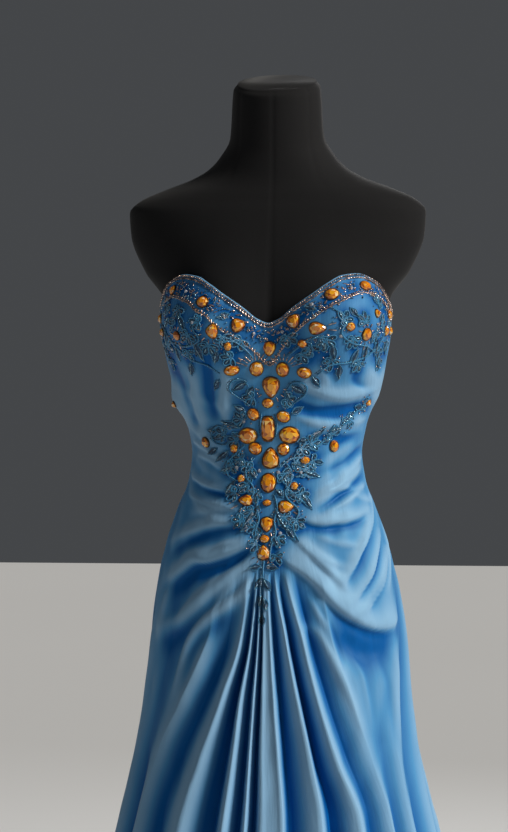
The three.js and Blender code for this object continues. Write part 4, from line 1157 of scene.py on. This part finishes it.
# Petals of a palmette: how far they fan out, how wide one is for its length, and how much the outer
# ones are shorter.
PETAL = {"fan_deg": 150, "plump": 0.6, "steps": 14, "shorter": 0.45}
CURL = {"radius": 4.6, "turns": 1.25, "steps": 22, "winds_in": 0.72}
CORD_RADIUS = 1.25
THIN_CORD = 1.0
LEAF_WIDE = 8.5
LEAF_STEPS = 28


# %% Cord and outline helpers
def sweep(centres, outward, radius, sides=6, close=False):
    """Tube along a line; its radius may change along it."""
    ahead = np.roll(centres, -1, axis=0) - np.roll(centres, 1, axis=0)
    if not close:
        ahead[0], ahead[-1] = centres[1] - centres[0], centres[-1] - centres[-2]
    side = unit(np.cross(unit(ahead), outward))
    over = unit(np.cross(side, unit(ahead)))
    turn = 2 * np.pi * np.arange(sides) / sides
    radius = np.broadcast_to(radius, len(centres))[:, None, None]
    ring = np.cos(turn)[None, :, None] * side[:, None] + np.sin(turn)[None, :, None] * over[:, None]
    points = (centres[:, None] + ring * radius).reshape(-1, 3)
    count = len(centres)
    faces = [tuple(face) for face in grid_faces(count, sides, closed=True)]
    if close:
        last = (count - 1) * sides
        faces += [(last + i, i, (i + 1) % sides, last + (i + 1) % sides) for i in range(sides)]
    else:
        faces += [tuple(range(sides)), tuple(range((count - 1) * sides, count * sides))[::-1]]
    return points, faces


def gather_parts(parts):
    """Points and faces of many parts joined in one."""
    points, faces, count = [], [], 0
    for part_points, part_faces in parts:
        points.append(part_points)
        faces += [tuple(int(corner) + count for corner in face) for face in part_faces]
        count += len(part_points)
    return np.vstack(points), faces


def leaf_local(long):
    """Outline of a leaf, in millimetres across and along."""
    u, v = outline("leaf", 2 * np.pi * np.arange(LEAF_STEPS) / LEAF_STEPS)
    return u * LEAF_WIDE / 2, v * long / 2


def leaf_places(deg, z, turn, across, along):
    """Angles and heights of places given in millimetres across and along a leaf."""
    cos, sin = math.cos(math.radians(turn)), math.sin(math.radians(turn))
    turned = np.degrees((across * cos - along * sin) / smooth_radius(deg, z))
    return deg + turned, z + across * sin + along * cos


def petals_of(deg, z, turn, count, long):
    """Angle, height and turn of each petal of a palmette, with its length; the middle one is longest."""
    for k in range(count):
        side = k / (count - 1) - 0.5
        yield deg, z, turn + PETAL["fan_deg"] * side, long * (1 - PETAL["shorter"] * abs(side))


def petal_outline(long):
    """Teardrop that starts and ends at its base, in millimetres across and along."""
    turn = 2 * np.pi * np.arange(PETAL["steps"]) / PETAL["steps"]
    across = long * PETAL["plump"] / 2 * np.sin(turn) * np.sin(turn / 2) ** 0.6
    return across, long * (1 - np.cos(turn)) / 2


def curl_outline():
    """Scroll that winds inward from the foot of a palmette."""
    part = np.linspace(0, 1, CURL["steps"])
    turn = 2 * np.pi * CURL["turns"] * part
    reach = CURL["radius"] * (1 - CURL["winds_in"] * part)
    return CURL["radius"] - reach * np.cos(turn), -reach * np.sin(turn)


# %% Cord material
def cord_material(name, dark, bright, strand_mm):
    """Twisted or laid rayon, whose strands run as diagonal bands, from painted shade between the strands to
    painted highlights on them.
    """
    material, tree, shader = start_material(name)
    at = add_node(tree, "ShaderNodeTexCoord")
    strands = {"Scale": DIAGONAL_WAVE * 1000 / strand_mm, "Distortion": 2.0, "Detail": 1.0}
    twist = add_node(
        tree, "ShaderNodeTexWave", {"Vector": at.outputs["Object"], **strands}, bands_direction="DIAGONAL",
    )
    connect(
        tree, shader,
        Base_Color=two_colours(tree, twist.outputs["Fac"], dark, bright),
        Normal=raised(tree, twist.outputs["Fac"], 0.6, 0.0004),
    )
    set_inputs(shader, {"Roughness": 0.28, "Sheen Weight": 0.2})
    return material


# Each cord runs from its dark colour, painted shade between strands, to its bright one, a painted highlight.
rayon_cord = cord_material("twisted_rayon_cord", "#032444", "#3ea6de", strand_mm=1.1)
satin_stitch = cord_material("rayon_satin_stitch", "#021c38", "#145a88", strand_mm=0.9)

# %% Stitched parts
# Share of the cord's radius at the ends of a stem, and steps of a stem for each of its places.
THIN_END = 0.55
STEM_STEPS = 14
# Rings of a pad, from its edge to its middle: share of its outline and height.
LEAF_PAD = [(1.0, -0.4), (0.96, 0.5), (0.72, 1.2), (0.4, 1.7), (0.06, 1.9)]
PETAL_PAD = [(1.0, -0.3), (0.66, 0.7), (0.2, 1.0)]


def raised_pad(deg, z, turn, across, along, pad_rings):
    """Cloth raised by stitching inside the outline of a leaf or petal."""
    middle = along.mean()
    rings = []
    for scale, height in pad_rings:
        ring_deg, ring_z = leaf_places(deg, z, turn, across * scale, middle + (along - middle) * scale)
        rings.append(on_cloth(ring_deg, ring_z, height))
    pad_faces = list(map(tuple, grid_faces(len(rings), len(across), closed=True)))
    pad_faces.append(tuple(range((len(rings) - 1) * len(across), len(rings) * len(across))))
    return np.vstack(rings), pad_faces


def laid_cord(deg, z, lift, radius, sides=5, close=False):
    """Cord along places, with its middle at a height above the cloth."""
    return sweep(on_cloth(deg, z, lift), cloth_axes(deg, z)[2], radius, sides=sides, close=close)


# %% Cord and leaves
cord_parts, pad_parts = [], []
for stem in STEMS:
    stem_deg, stem_z = smooth_line(stem, STEM_STEPS * len(stem)).T
    taper = THIN_END + (1 - THIN_END) * np.sin(np.pi * np.linspace(0.08, 0.92, len(stem_deg)))
    cord_parts.append(laid_cord(stem_deg, stem_z, CORD_RADIUS * 0.7, CORD_RADIUS * taper, sides=6))
for deg, z, long, turn in LEAVES:
    edge = leaf_local(long)
    edge_places = leaf_places(deg, z, turn, *edge)
    cord_parts.append(laid_cord(*edge_places, CORD_RADIUS * 0.6, CORD_RADIUS * 0.62, close=True))
    pad_parts.append(raised_pad(deg, z, turn, *edge, LEAF_PAD))
for palmette in PALMETTES:
    for deg, z, turn, long in petals_of(*palmette):
        edge = petal_outline(long)
        pad_parts.append(raised_pad(deg, z, turn, *edge, PETAL_PAD))
        edge_places = leaf_places(deg, z, turn, *edge)
        cord_parts.append(laid_cord(*edge_places, THIN_CORD * 0.8, THIN_CORD, close=True))
    curl_places = leaf_places(*palmette[:3], *curl_outline())
    cord_parts.append(laid_cord(*curl_places, THIN_CORD * 1.1, THIN_CORD))
cords = make_piece("couched_cord", *gather_parts(cord_parts), rayon_cord)
pads = make_piece("stitched_leaves", *gather_parts(pad_parts), satin_stitch)
print("stems", len(STEMS), "leaves", len(LEAVES))


# %% Bead shapes
BEAD_WANDER = 0.16
BEAD_SIZES = (0.82, 1.16)
# Sizes of each kind of bead: across, along and out of the cloth.
SEED = (2.6, 2.6, 2.4)
TINY_SEED = (1.7, 1.7, 1.6)
STREWN_SEED = (1.9, 1.9, 1.8)
BAND_SEED = (2.0, 2.0, 1.9)
BUGLE = (1.9, 4.6, 1.9)
VEIN_BUGLE = (1.3, 4.4, 1.3)
SPRAY_BUGLE = (1.4, 4.6, 1.4)
BAND_BUGLE = (1.3, 3.8, 1.3)


def bugle_shape(sides=6):
    """Short tube of glass, of length 1, with softened ends."""
    turn = 2 * np.pi * np.arange(sides) / sides
    ring = np.stack([np.cos(turn), 0 * turn, np.sin(turn)], axis=-1) / 2
    levels = [(-0.5, 0.8), (-0.42, 1.0), (0.42, 1.0), (0.5, 0.8)]
    points = np.vstack([ring * [size, 1, size] + [0, height, 0] for height, size in levels])
    faces = [tuple(face) for face in grid_faces(len(levels), sides, closed=True)]
    last = (len(levels) - 1) * sides
    faces += [tuple(range(sides)), tuple(range(last, last + sides))[::-1]]
    return points, faces


def round_shape(sides=8, levels=5):
    """Round bead of width 1, flat at the two ends of its hole."""
    rise = np.linspace(-0.5, 0.5, levels) * np.pi * 0.84
    turn = 2 * np.pi * np.arange(sides) / sides
    rings = [
        np.stack([np.cos(turn) * np.cos(up), np.sin(turn) * np.cos(up), np.full(sides, np.sin(up))], axis=-1)
        for up in rise
    ]
    faces = [tuple(face) for face in grid_faces(levels, sides, closed=True)]
    faces += [tuple(range(sides)), tuple(range((levels - 1) * sides, levels * sides))[::-1]]
    return np.vstack(rings) / 2, [face[::-1] for face in faces]


# %% Bead materials
def bead_material(name, dark, bright, metallic):
    """Glass over a silvered hole; each bead has a shade of its own."""
    material, tree, shader = start_material(name)
    bead = add_node(tree, "ShaderNodeAttribute", attribute_name="bead")
    connect(tree, shader, Base_Color=two_colours(tree, bead.outputs["Fac"], dark, bright))
    set_inputs(shader, {
        "Metallic": metallic, "Roughness": 0.2, "Coat Weight": 0.8, "Coat Roughness": 0.05,
    })
    return material


rose_glass = bead_material("silver_lined_rose_glass", "#6d5a58", "#e2c4b2", metallic=0.75)
teal_glass = bead_material("silver_lined_teal_glass", "#0b2f47", "#8db9cc", metallic=0.6)


# %% Bead makers
def bead_piece(name, shape, rows, material, seed):
    """One piece of many beads; rows hold centres, right, up, outward and sizes."""
    template, faces = shape
    centres, right, up, outward, sizes = (np.vstack(part) for part in zip(*rows))
    random = np.random.default_rng(seed)
    centres = centres + random.normal(0, BEAD_WANDER, centres.shape)
    sizes = sizes * random.uniform(*BEAD_SIZES, (len(sizes), 1))
    points, joined = join_copies(template, faces, centres, right, up, outward, sizes)
    made = make_piece(name, points, joined, material)
    shades = np.repeat(random.random(len(centres)), len(template))
    store_points(made.data, "bead", shades)
    print(name, len(centres))


def beads_along(points, spacing, size, slant=0.0, out=0.6):
    """Beads strung along a line, their length turned from it by slant degrees."""
    deg, z, centres, ahead = walk(points, spacing, out)
    outward = cloth_axes(deg, z)[2]
    side = unit(np.cross(ahead, outward))
    cos, sin = math.cos(math.radians(slant)), math.sin(math.radians(slant))
    up = ahead * cos + side * sin
    right = side * cos - ahead * sin
    return centres, right, up, outward, np.tile(size, (len(centres), 1))


# %% Beads of the neckline
ROW_END_DEG = 86
ROW_PLACES = 60


def neck_row(below):
    """Line that runs below the neckline at an even distance."""
    deg = np.linspace(-ROW_END_DEG, ROW_END_DEG, ROW_PLACES)
    return np.stack([deg, neck_height(deg) - below], axis=-1)


INNER_ROW = [
    (-70, 1236), (-60, 1248), (-52, 1249), (-42, 1241), (-37, 1231), (-32, 1224), (-27, 1210), (-19, 1197),
    (-10, 1182), (-4, 1170), (1, 1163), (5, 1171), (9, 1183), (18, 1207), (25, 1221), (34, 1237), (47, 1251),
    (56, 1254), (67, 1245), (76, 1232),
]
rose_seeds = [
    beads_along(neck_row(0.2), 3.4, SEED, out=1.5),
    beads_along(INNER_ROW, 4.2, SEED),
]
rose_bugles = [
    beads_along(neck_row(3.6), 4.6, BUGLE, slant=20, out=1.0),
    beads_along([(deg, z - 2.6) for deg, z in INNER_ROW], 4.4, BUGLE, slant=12),
]
bead_piece("rose_seed_beads", round_shape(), rose_seeds, rose_glass, seed=21)
bead_piece("rose_bugle_beads", bugle_shape(), rose_bugles, rose_glass, seed=22)

# %% Beads of the scrolls
# Where beads run along the middle of a leaf, from its centre, and of a petal, from its base.
LEAF_VEIN = (-0.42, 0.0, 0.4)
PETAL_VEIN = (0.34, 0.86)


def midline(deg, z, turn, long, shares):
    """Places along the middle of a leaf or petal, at shares of its length."""
    return [leaf_places(deg, z, turn, 0.0, share * long) for share in shares]


teal_bugles, teal_seeds = [], []
for deg, z, long, turn in LEAVES:
    teal_bugles.append(beads_along(midline(deg, z, turn, long, LEAF_VEIN), 5.0, VEIN_BUGLE, out=2.4))
for stem in STEMS:
    left = [(deg - 1.3, z + 1.0) for deg, z in stem]
    teal_seeds.append(beads_along(left, 2.6, TINY_SEED, out=0.7))
for palmette in PALMETTES:
    for deg, z, turn, long in petals_of(*palmette):
        vein = midline(deg, z, turn, long, PETAL_VEIN)
        teal_bugles.append(beads_along(vein, 0.5 * long, (1.2, 0.4 * long, 1.2), out=1.4))
print("veins", len(teal_bugles))

# %% Sprays
# Each row: angle and height of a stone, first and last turn, number of beads, and their two ends.
SPRAYS = [
    (-8, 1156, -60, 70, 9, 11, 22), (9.5, 1155, -70, 60, 9, 11, 22), (-48.2, 1198, 0, 330, 10, 8, 15),
    (51.7, 1199, 0, 330, 10, 10, 17), (1.6, 1133, 100, 260, 7, 15, 22), (-17.4, 991, 20, 160, 5, 11, 18),
    (12.3, 983, -160, -20, 5, 11, 18), (-1.3, 961, 70, 290, 6, 11, 18),
    (-34.8, 1240, 100, 250, 6, 10, 16), (35.1, 1249, 110, 260, 6, 11, 17),
    (-3.2, 926, 120, 240, 5, 11, 18), (27.2, 1206, 150, 290, 6, 12, 19), (-29.4, 1203, 80, 210, 6, 12, 19),
]
SPRAY_SPACING = SPRAY_BUGLE[1] + 0.4


def spray(deg, z, low, high, count, inner, outer):
    """Bugle beads that fan out round a place."""
    reach = np.array([inner, (inner + outer) / 2, outer])
    for turn in np.linspace(low, high, count):
        line = np.stack(leaf_places(deg, z, turn, 0.0, reach), axis=-1)
        yield beads_along(line, SPRAY_SPACING, SPRAY_BUGLE)


spray_rows = [bugle for row in SPRAYS for bugle in spray(*row)]
bead_piece("stone_sprays", bugle_shape(), spray_rows, rose_glass, seed=28)

# %% Strewn beads
STONE_GAP = 2.0
NECK_GAP = 5
STREWN_REACH = 14


def stone_free(deg, z):
    """Which places lie clear of every stone."""
    at = flat_place(deg, z)
    free = np.ones(len(at), bool)
    for stone_deg, stone_z, wide, long, _, _ in STONES:
        away = np.linalg.norm(at - flat_place(stone_deg, stone_z), axis=1)
        free &= away > max(wide, long) / 2 + STONE_GAP
    return free


def scattered(count, reach, seed):
    """Places strewn round the palmettes, clear of the stones, with a direction each."""
    random = np.random.default_rng(seed)
    centres = np.array([row[:2] for row in PALMETTES], float)[random.integers(0, len(PALMETTES), count)]
    radius = smooth_radius(centres[:, 0], centres[:, 1])
    away = reach * np.sqrt(random.random(count))
    turn = random.uniform(0, 2 * np.pi, count)
    deg = centres[:, 0] + np.degrees(away * np.cos(turn) / radius)
    z = centres[:, 1] + away * np.sin(turn)
    free = stone_free(deg, z) & (z < neck_height(deg) - NECK_GAP)
    return deg[free], z[free], np.degrees(turn[free])


def strewn_beads(places, size, out):
    """Rows of beads at places with a direction each."""
    deg, z, turn = places
    right, up, outward = turned_axes(deg, z, turn)
    return on_cloth(deg, z, out), right, up, outward, np.tile(size, (len(deg), 1))


def band_places(count, low, high, seed):
    """Places strewn in the band under the neckline."""
    random = np.random.default_rng(seed)
    deg = random.uniform(-84, 84, count)
    z = neck_height(deg) - random.uniform(low, high, count)
    free = stone_free(deg, z)
    return deg[free], z[free], random.uniform(0, 180, count)[free]


strewn_rose = strewn_beads(scattered(620, STREWN_REACH, seed=31), STREWN_SEED, 0.8)
strewn_teal = strewn_beads(scattered(260, STREWN_REACH, seed=32), STREWN_SEED, 0.8)
band_rose = strewn_beads(band_places(230, 8, 26, seed=33), BAND_BUGLE, 0.7)
band_teal = strewn_beads(band_places(420, 8, 30, seed=34), BAND_SEED, 0.8)
teal_seeds += [strewn_teal, band_teal]
bead_piece("strewn_rose_beads", round_shape(6, 4), [strewn_rose], rose_glass, seed=26)
bead_piece("strewn_rose_bugles", bugle_shape(), [band_rose], rose_glass, seed=27)
bead_piece("teal_bugle_beads", bugle_shape(), teal_bugles, teal_glass, seed=23)
bead_piece("teal_seed_beads", round_shape(6, 4), teal_seeds, teal_glass, seed=24)

# %% Clear crystals
CRYSTALS = [
    (-68, 1236), (-46, 1254), (-24, 1222), (-9, 1200), (9, 1202), (25, 1236), (46, 1258), (66, 1252),
    (-38, 1214), (-56, 1182), (38, 1196), (60, 1212), (-20, 1090),
    (-26, 1032), (24, 1026), (-8, 1028), (7, 1026), (-12, 974), (8, 950), (0, 908),
]
CRYSTAL_WIDE = 5
CRYSTAL_LIFT = 2.4
crystal_rows = [(deg, z, CRYSTAL_WIDE, CRYSTAL_WIDE, 0, "oval") for deg, z in CRYSTALS]
crystal_shapes = all_stones(crystal_rows, CROWN, STONE_SIDES, lift=CRYSTAL_LIFT)
crystals = make_piece("clear_crystals", *crystal_shapes, clear_glass, smooth=False)
# The crystals' facets get painted reflections and painted glints as well.
tone_facets(crystals, len(CRYSTALS), seed=12)
print("crystals", len(CRYSTALS))

# %% [markdown]
# ## Edges
#
# The top of the bodice ends in a narrow satin roll, which hides the raw edges and holds the shape. It
# is a soft tube that follows the neckline all the way round to the zip.

# %% Neck roll
ROLL_RADIUS = 1.7
ROLL_END_DEG = 178.6
ROLL_STEPS = 420
# The roll takes its direction from the cloth a little below it, and its colour is painted with the light tone
# of an open fold.
ROLL_BELOW = 3
ROLL_CREST = 0.7

roll_deg = np.linspace(-ROLL_END_DEG, ROLL_END_DEG, ROLL_STEPS)
roll_z = neck_height(roll_deg)
roll_outward = cloth_axes(roll_deg, roll_z - ROLL_BELOW)[2]
roll_tube = sweep(on_cloth(roll_deg, roll_z, -ROLL_RADIUS / 2), roll_outward, ROLL_RADIUS, sides=8)
neck_roll = make_piece("neck_roll", *roll_tube, satin)
# Painted light: the roll gets the crest tone of an open fold.
store_points(neck_roll.data, "crest", np.full(len(neck_roll.data.vertices), ROLL_CREST))
# The roll is too narrow to show a weave, so its flat layer stays empty.
neck_roll.data.uv_layers.new(name="cut")
print("neck roll", len(neck_roll.data.vertices), "points")

# %% [markdown]
# ## Dress form
#
# The form is a padded shell covered in black jersey. Its knit swallows light, so only the sheen along
# the shoulders shows. The cover is cut in panels, and the seams between them are just visible.

# %% Form tables
FORM_Z = [738, 744, 811, 873, 936, 977, 1019, 1050, 1081, 1123, 1164, 1205, 1228, 1252, 1284, 1332, 1362,
          1377, 1391, 1404, 1417, 1433, 1459, 1522, 1530]
FORM_HALF = [140, 148, 155, 149, 135, 121, 107.5, 107.3, 108.5, 121, 132.5, 138, 140, 148, 172, 191.5,
             193.5, 180, 149, 113, 90, 75, 61, 56.5, 51]
FORM_FRONT = [96, 104, 108, 103, 97, 90, 86, 86.3, 85, 88, 94, 96, 94, 90, 84, 74, 67, 63, 60, 57, 55, 54,
              53, 53, 48]
FORM_BACK = [100, 108, 115, 116, 106, 92, 80, 77.3, 75.5, 79, 85, 90, 92, 94, 95, 92, 86, 80, 74, 68, 63,
             59, 55, 54, 49]
FORM_POWER = [2.2] * 12 + [2, 1.85, 1.85, 2] + [2.1] * 9
FORM_LEAN = [0] * 16 + [0.04, 0.1, 0.16, 0.22, 0.26, 0.3, 0.33, 0.344, 0.344]
FORM_CUP_OUT = 29
FORM_SIDES = 128
FORM_RINGS = 170
SEAM_DEGS = (0, 52, 90, 128, 180)
SEAM_DEEP = 0.7
SEAM_SOFT = 1.6


# %% Form cover
def form_cloth():
    """Points and faces of the cover, with a shallow groove along each seam."""
    heights = np.concatenate([
        np.linspace(FORM_Z[0], FORM_Z[1], 4)[:-1],
        np.linspace(FORM_Z[1], FORM_Z[-2], FORM_RINGS),
        np.linspace(FORM_Z[-2], FORM_Z[-1], 5)[1:],
    ])[:, None]
    deg = (-180 + 360 * np.arange(FORM_SIDES) / FORM_SIDES)[None]
    half, front, back, power, lean = (
        read_curve(FORM_Z, table, heights)
        for table in (FORM_HALF, FORM_FRONT, FORM_BACK, FORM_POWER, FORM_LEAN)
    )
    radius = oval_radius(deg, half, np.where(np.abs(deg) < 90, front, back), power)
    radius = radius + cup_swell(deg, heights, FORM_CUP_OUT)
    for seam in SEAM_DEGS:
        arc = np.radians(np.abs(deg) - seam) * radius
        radius = radius - SEAM_DEEP * np.exp(-0.5 * (arc / SEAM_SOFT) ** 2)
    points = place(deg, heights, radius)
    points[..., 2] = heights + lean * points[..., 1]
    faces = [tuple(face)[::-1] for face in grid_faces(len(heights), FORM_SIDES, closed=True)]
    last = (len(heights) - 1) * FORM_SIDES
    faces += [tuple(range(FORM_SIDES))[::-1], tuple(range(last, last + FORM_SIDES))]
    return points.reshape(-1, 3), faces


def jersey():
    material, tree, shader = start_material("black_cotton_jersey")
    at = add_node(tree, "ShaderNodeTexCoord")
    loops = {"Vector": at.outputs["Object"], "Scale": 900.0, "Detail": 2.0}
    knit = add_node(tree, "ShaderNodeTexNoise", loops)
    connect(
        tree, shader,
        Base_Color=two_colours(tree, knit.outputs["Fac"], "#0a0a0b", "#1b1b1d"),
        Normal=raised(tree, knit.outputs["Fac"], 0.3, 0.0004),
    )
    set_inputs(shader, {"Roughness": 0.85, "Specular IOR Level": 0.2, "Sheen Weight": 0.05})
    return material


form_cover = make_piece("form_cover", *form_cloth(), jersey())
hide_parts("dress_form")
print("form cover", len(form_cover.data.polygons), "faces")

# %% [markdown]
# ## Stand and zip
#
# The pole and the base are steel with a black powder coat, which is smooth from a distance and finely
# pebbled close by. The zip's slider and pull are enamelled to match the cloth.

# %% Stand
def powder_coat():
    material, tree, shader = start_material("powder_coated_steel")
    pebble = add_node(tree, "ShaderNodeTexNoise", {"Scale": 700.0, "Detail": 2.0})
    connect(
        tree, shader,
        Base_Color=two_colours(tree, pebble.outputs["Fac"], "#101113", "#1c1d20"),
        Normal=raised(tree, pebble.outputs["Fac"], 0.2, 0.0003),
    )
    set_inputs(shader, {"Roughness": 0.42})
    return material


# A face that looks up more than this is flat, and the rest of a lathed piece is shaded round.
FLAT_LEAST = 0.6


def lathe(name, node_name, profile, sides, material):
    """Round piece from its profile of radius and height, closed on the axis."""
    turn = 2 * np.pi * np.arange(sides) / sides
    profile = np.asarray(profile, float)
    rings = np.stack([
        profile[:, :1] * np.cos(turn), profile[:, :1] * np.sin(turn), profile[:, 1:] + 0 * turn,
    ], axis=-1)
    faces = [tuple(face)[::-1] for face in grid_faces(len(profile), sides, closed=True)]
    last = (len(profile) - 1) * sides
    faces += [tuple(range(sides))[::-1], tuple(range(last, last + sides))]
    made = make_piece(name, rings.reshape(-1, 3), faces, material, smooth=False)
    upward = np.array([abs(face.normal[2]) for face in made.data.polygons])
    made.data.polygons.foreach_set("use_smooth", upward < FLAT_LEAST)
    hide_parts(node_name)


stand_paint = powder_coat()
pole_low, pole_high = (corner[2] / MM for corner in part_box("stand_pole"))
POLE_RADIUS = 14
POLE_PROFILE = [(POLE_RADIUS, pole_low), (POLE_RADIUS, pole_high)]
# Radius and height of the base's edge, its slightly raised top and the socket of the pole.
BASE_PROFILE = [(185, 0), (190, 1.5), (190, 14), (188.6, 17.4), (185, 19), (36, 20), (32, 24), (27, 48),
                (25, 50), (14.3, 50)]
lathe("pole", "stand_pole", POLE_PROFILE, 48, stand_paint)
lathe("base", "stand_base", BASE_PROFILE, 128, stand_paint)
print("pole from", round(pole_low), "to", round(pole_high), "mm")


# %% Zip
def woven_tape():
    material, tree, shader = start_material("woven_polyester_tape")
    at = add_node(tree, "ShaderNodeTexCoord")
    ribs = {"Vector": at.outputs["Object"], "Scale": 160.0}
    rib = add_node(tree, "ShaderNodeTexWave", ribs, bands_direction="Z")
    connect(
        tree, shader,
        Base_Color=two_colours(tree, rib.outputs["Fac"], "#35689a", "#5f97c6"),
        Normal=raised(tree, rib.outputs["Fac"], 0.5, 0.0005),
    )
    set_inputs(shader, {"Roughness": 0.6})
    return material


def enamel():
    material, tree, shader = start_material("enamelled_zinc")
    wear = add_node(tree, "ShaderNodeTexNoise", {"Scale": 500.0, "Detail": 3.0})
    connect(tree, shader, Base_Color=two_colours(tree, wear.outputs["Fac"], "#4f86b4", "#74a6cf"))
    set_inputs(shader, {"Roughness": 0.25, "Coat Weight": 0.6})
    return material


def refinish(node_name, material):
    """Give a solid of the frame its finish."""
    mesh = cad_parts[node_name].data
    for number in range(max(len(mesh.materials), 1)):
        if len(mesh.materials) > number:
            mesh.materials[number] = material
        else:
            mesh.materials.append(material)


zip_enamel = enamel()
refinish("zip_strip", woven_tape())
refinish("zip_slider", zip_enamel)
refinish("zip_pull", zip_enamel)

# %% Finish
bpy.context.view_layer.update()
meshes = [made.data for made in bpy.data.objects if made.type == "MESH"]
triangles = sum(len(face.vertices) - 2 for mesh in meshes for face in mesh.polygons)
print("triangles before thickness", triangles)
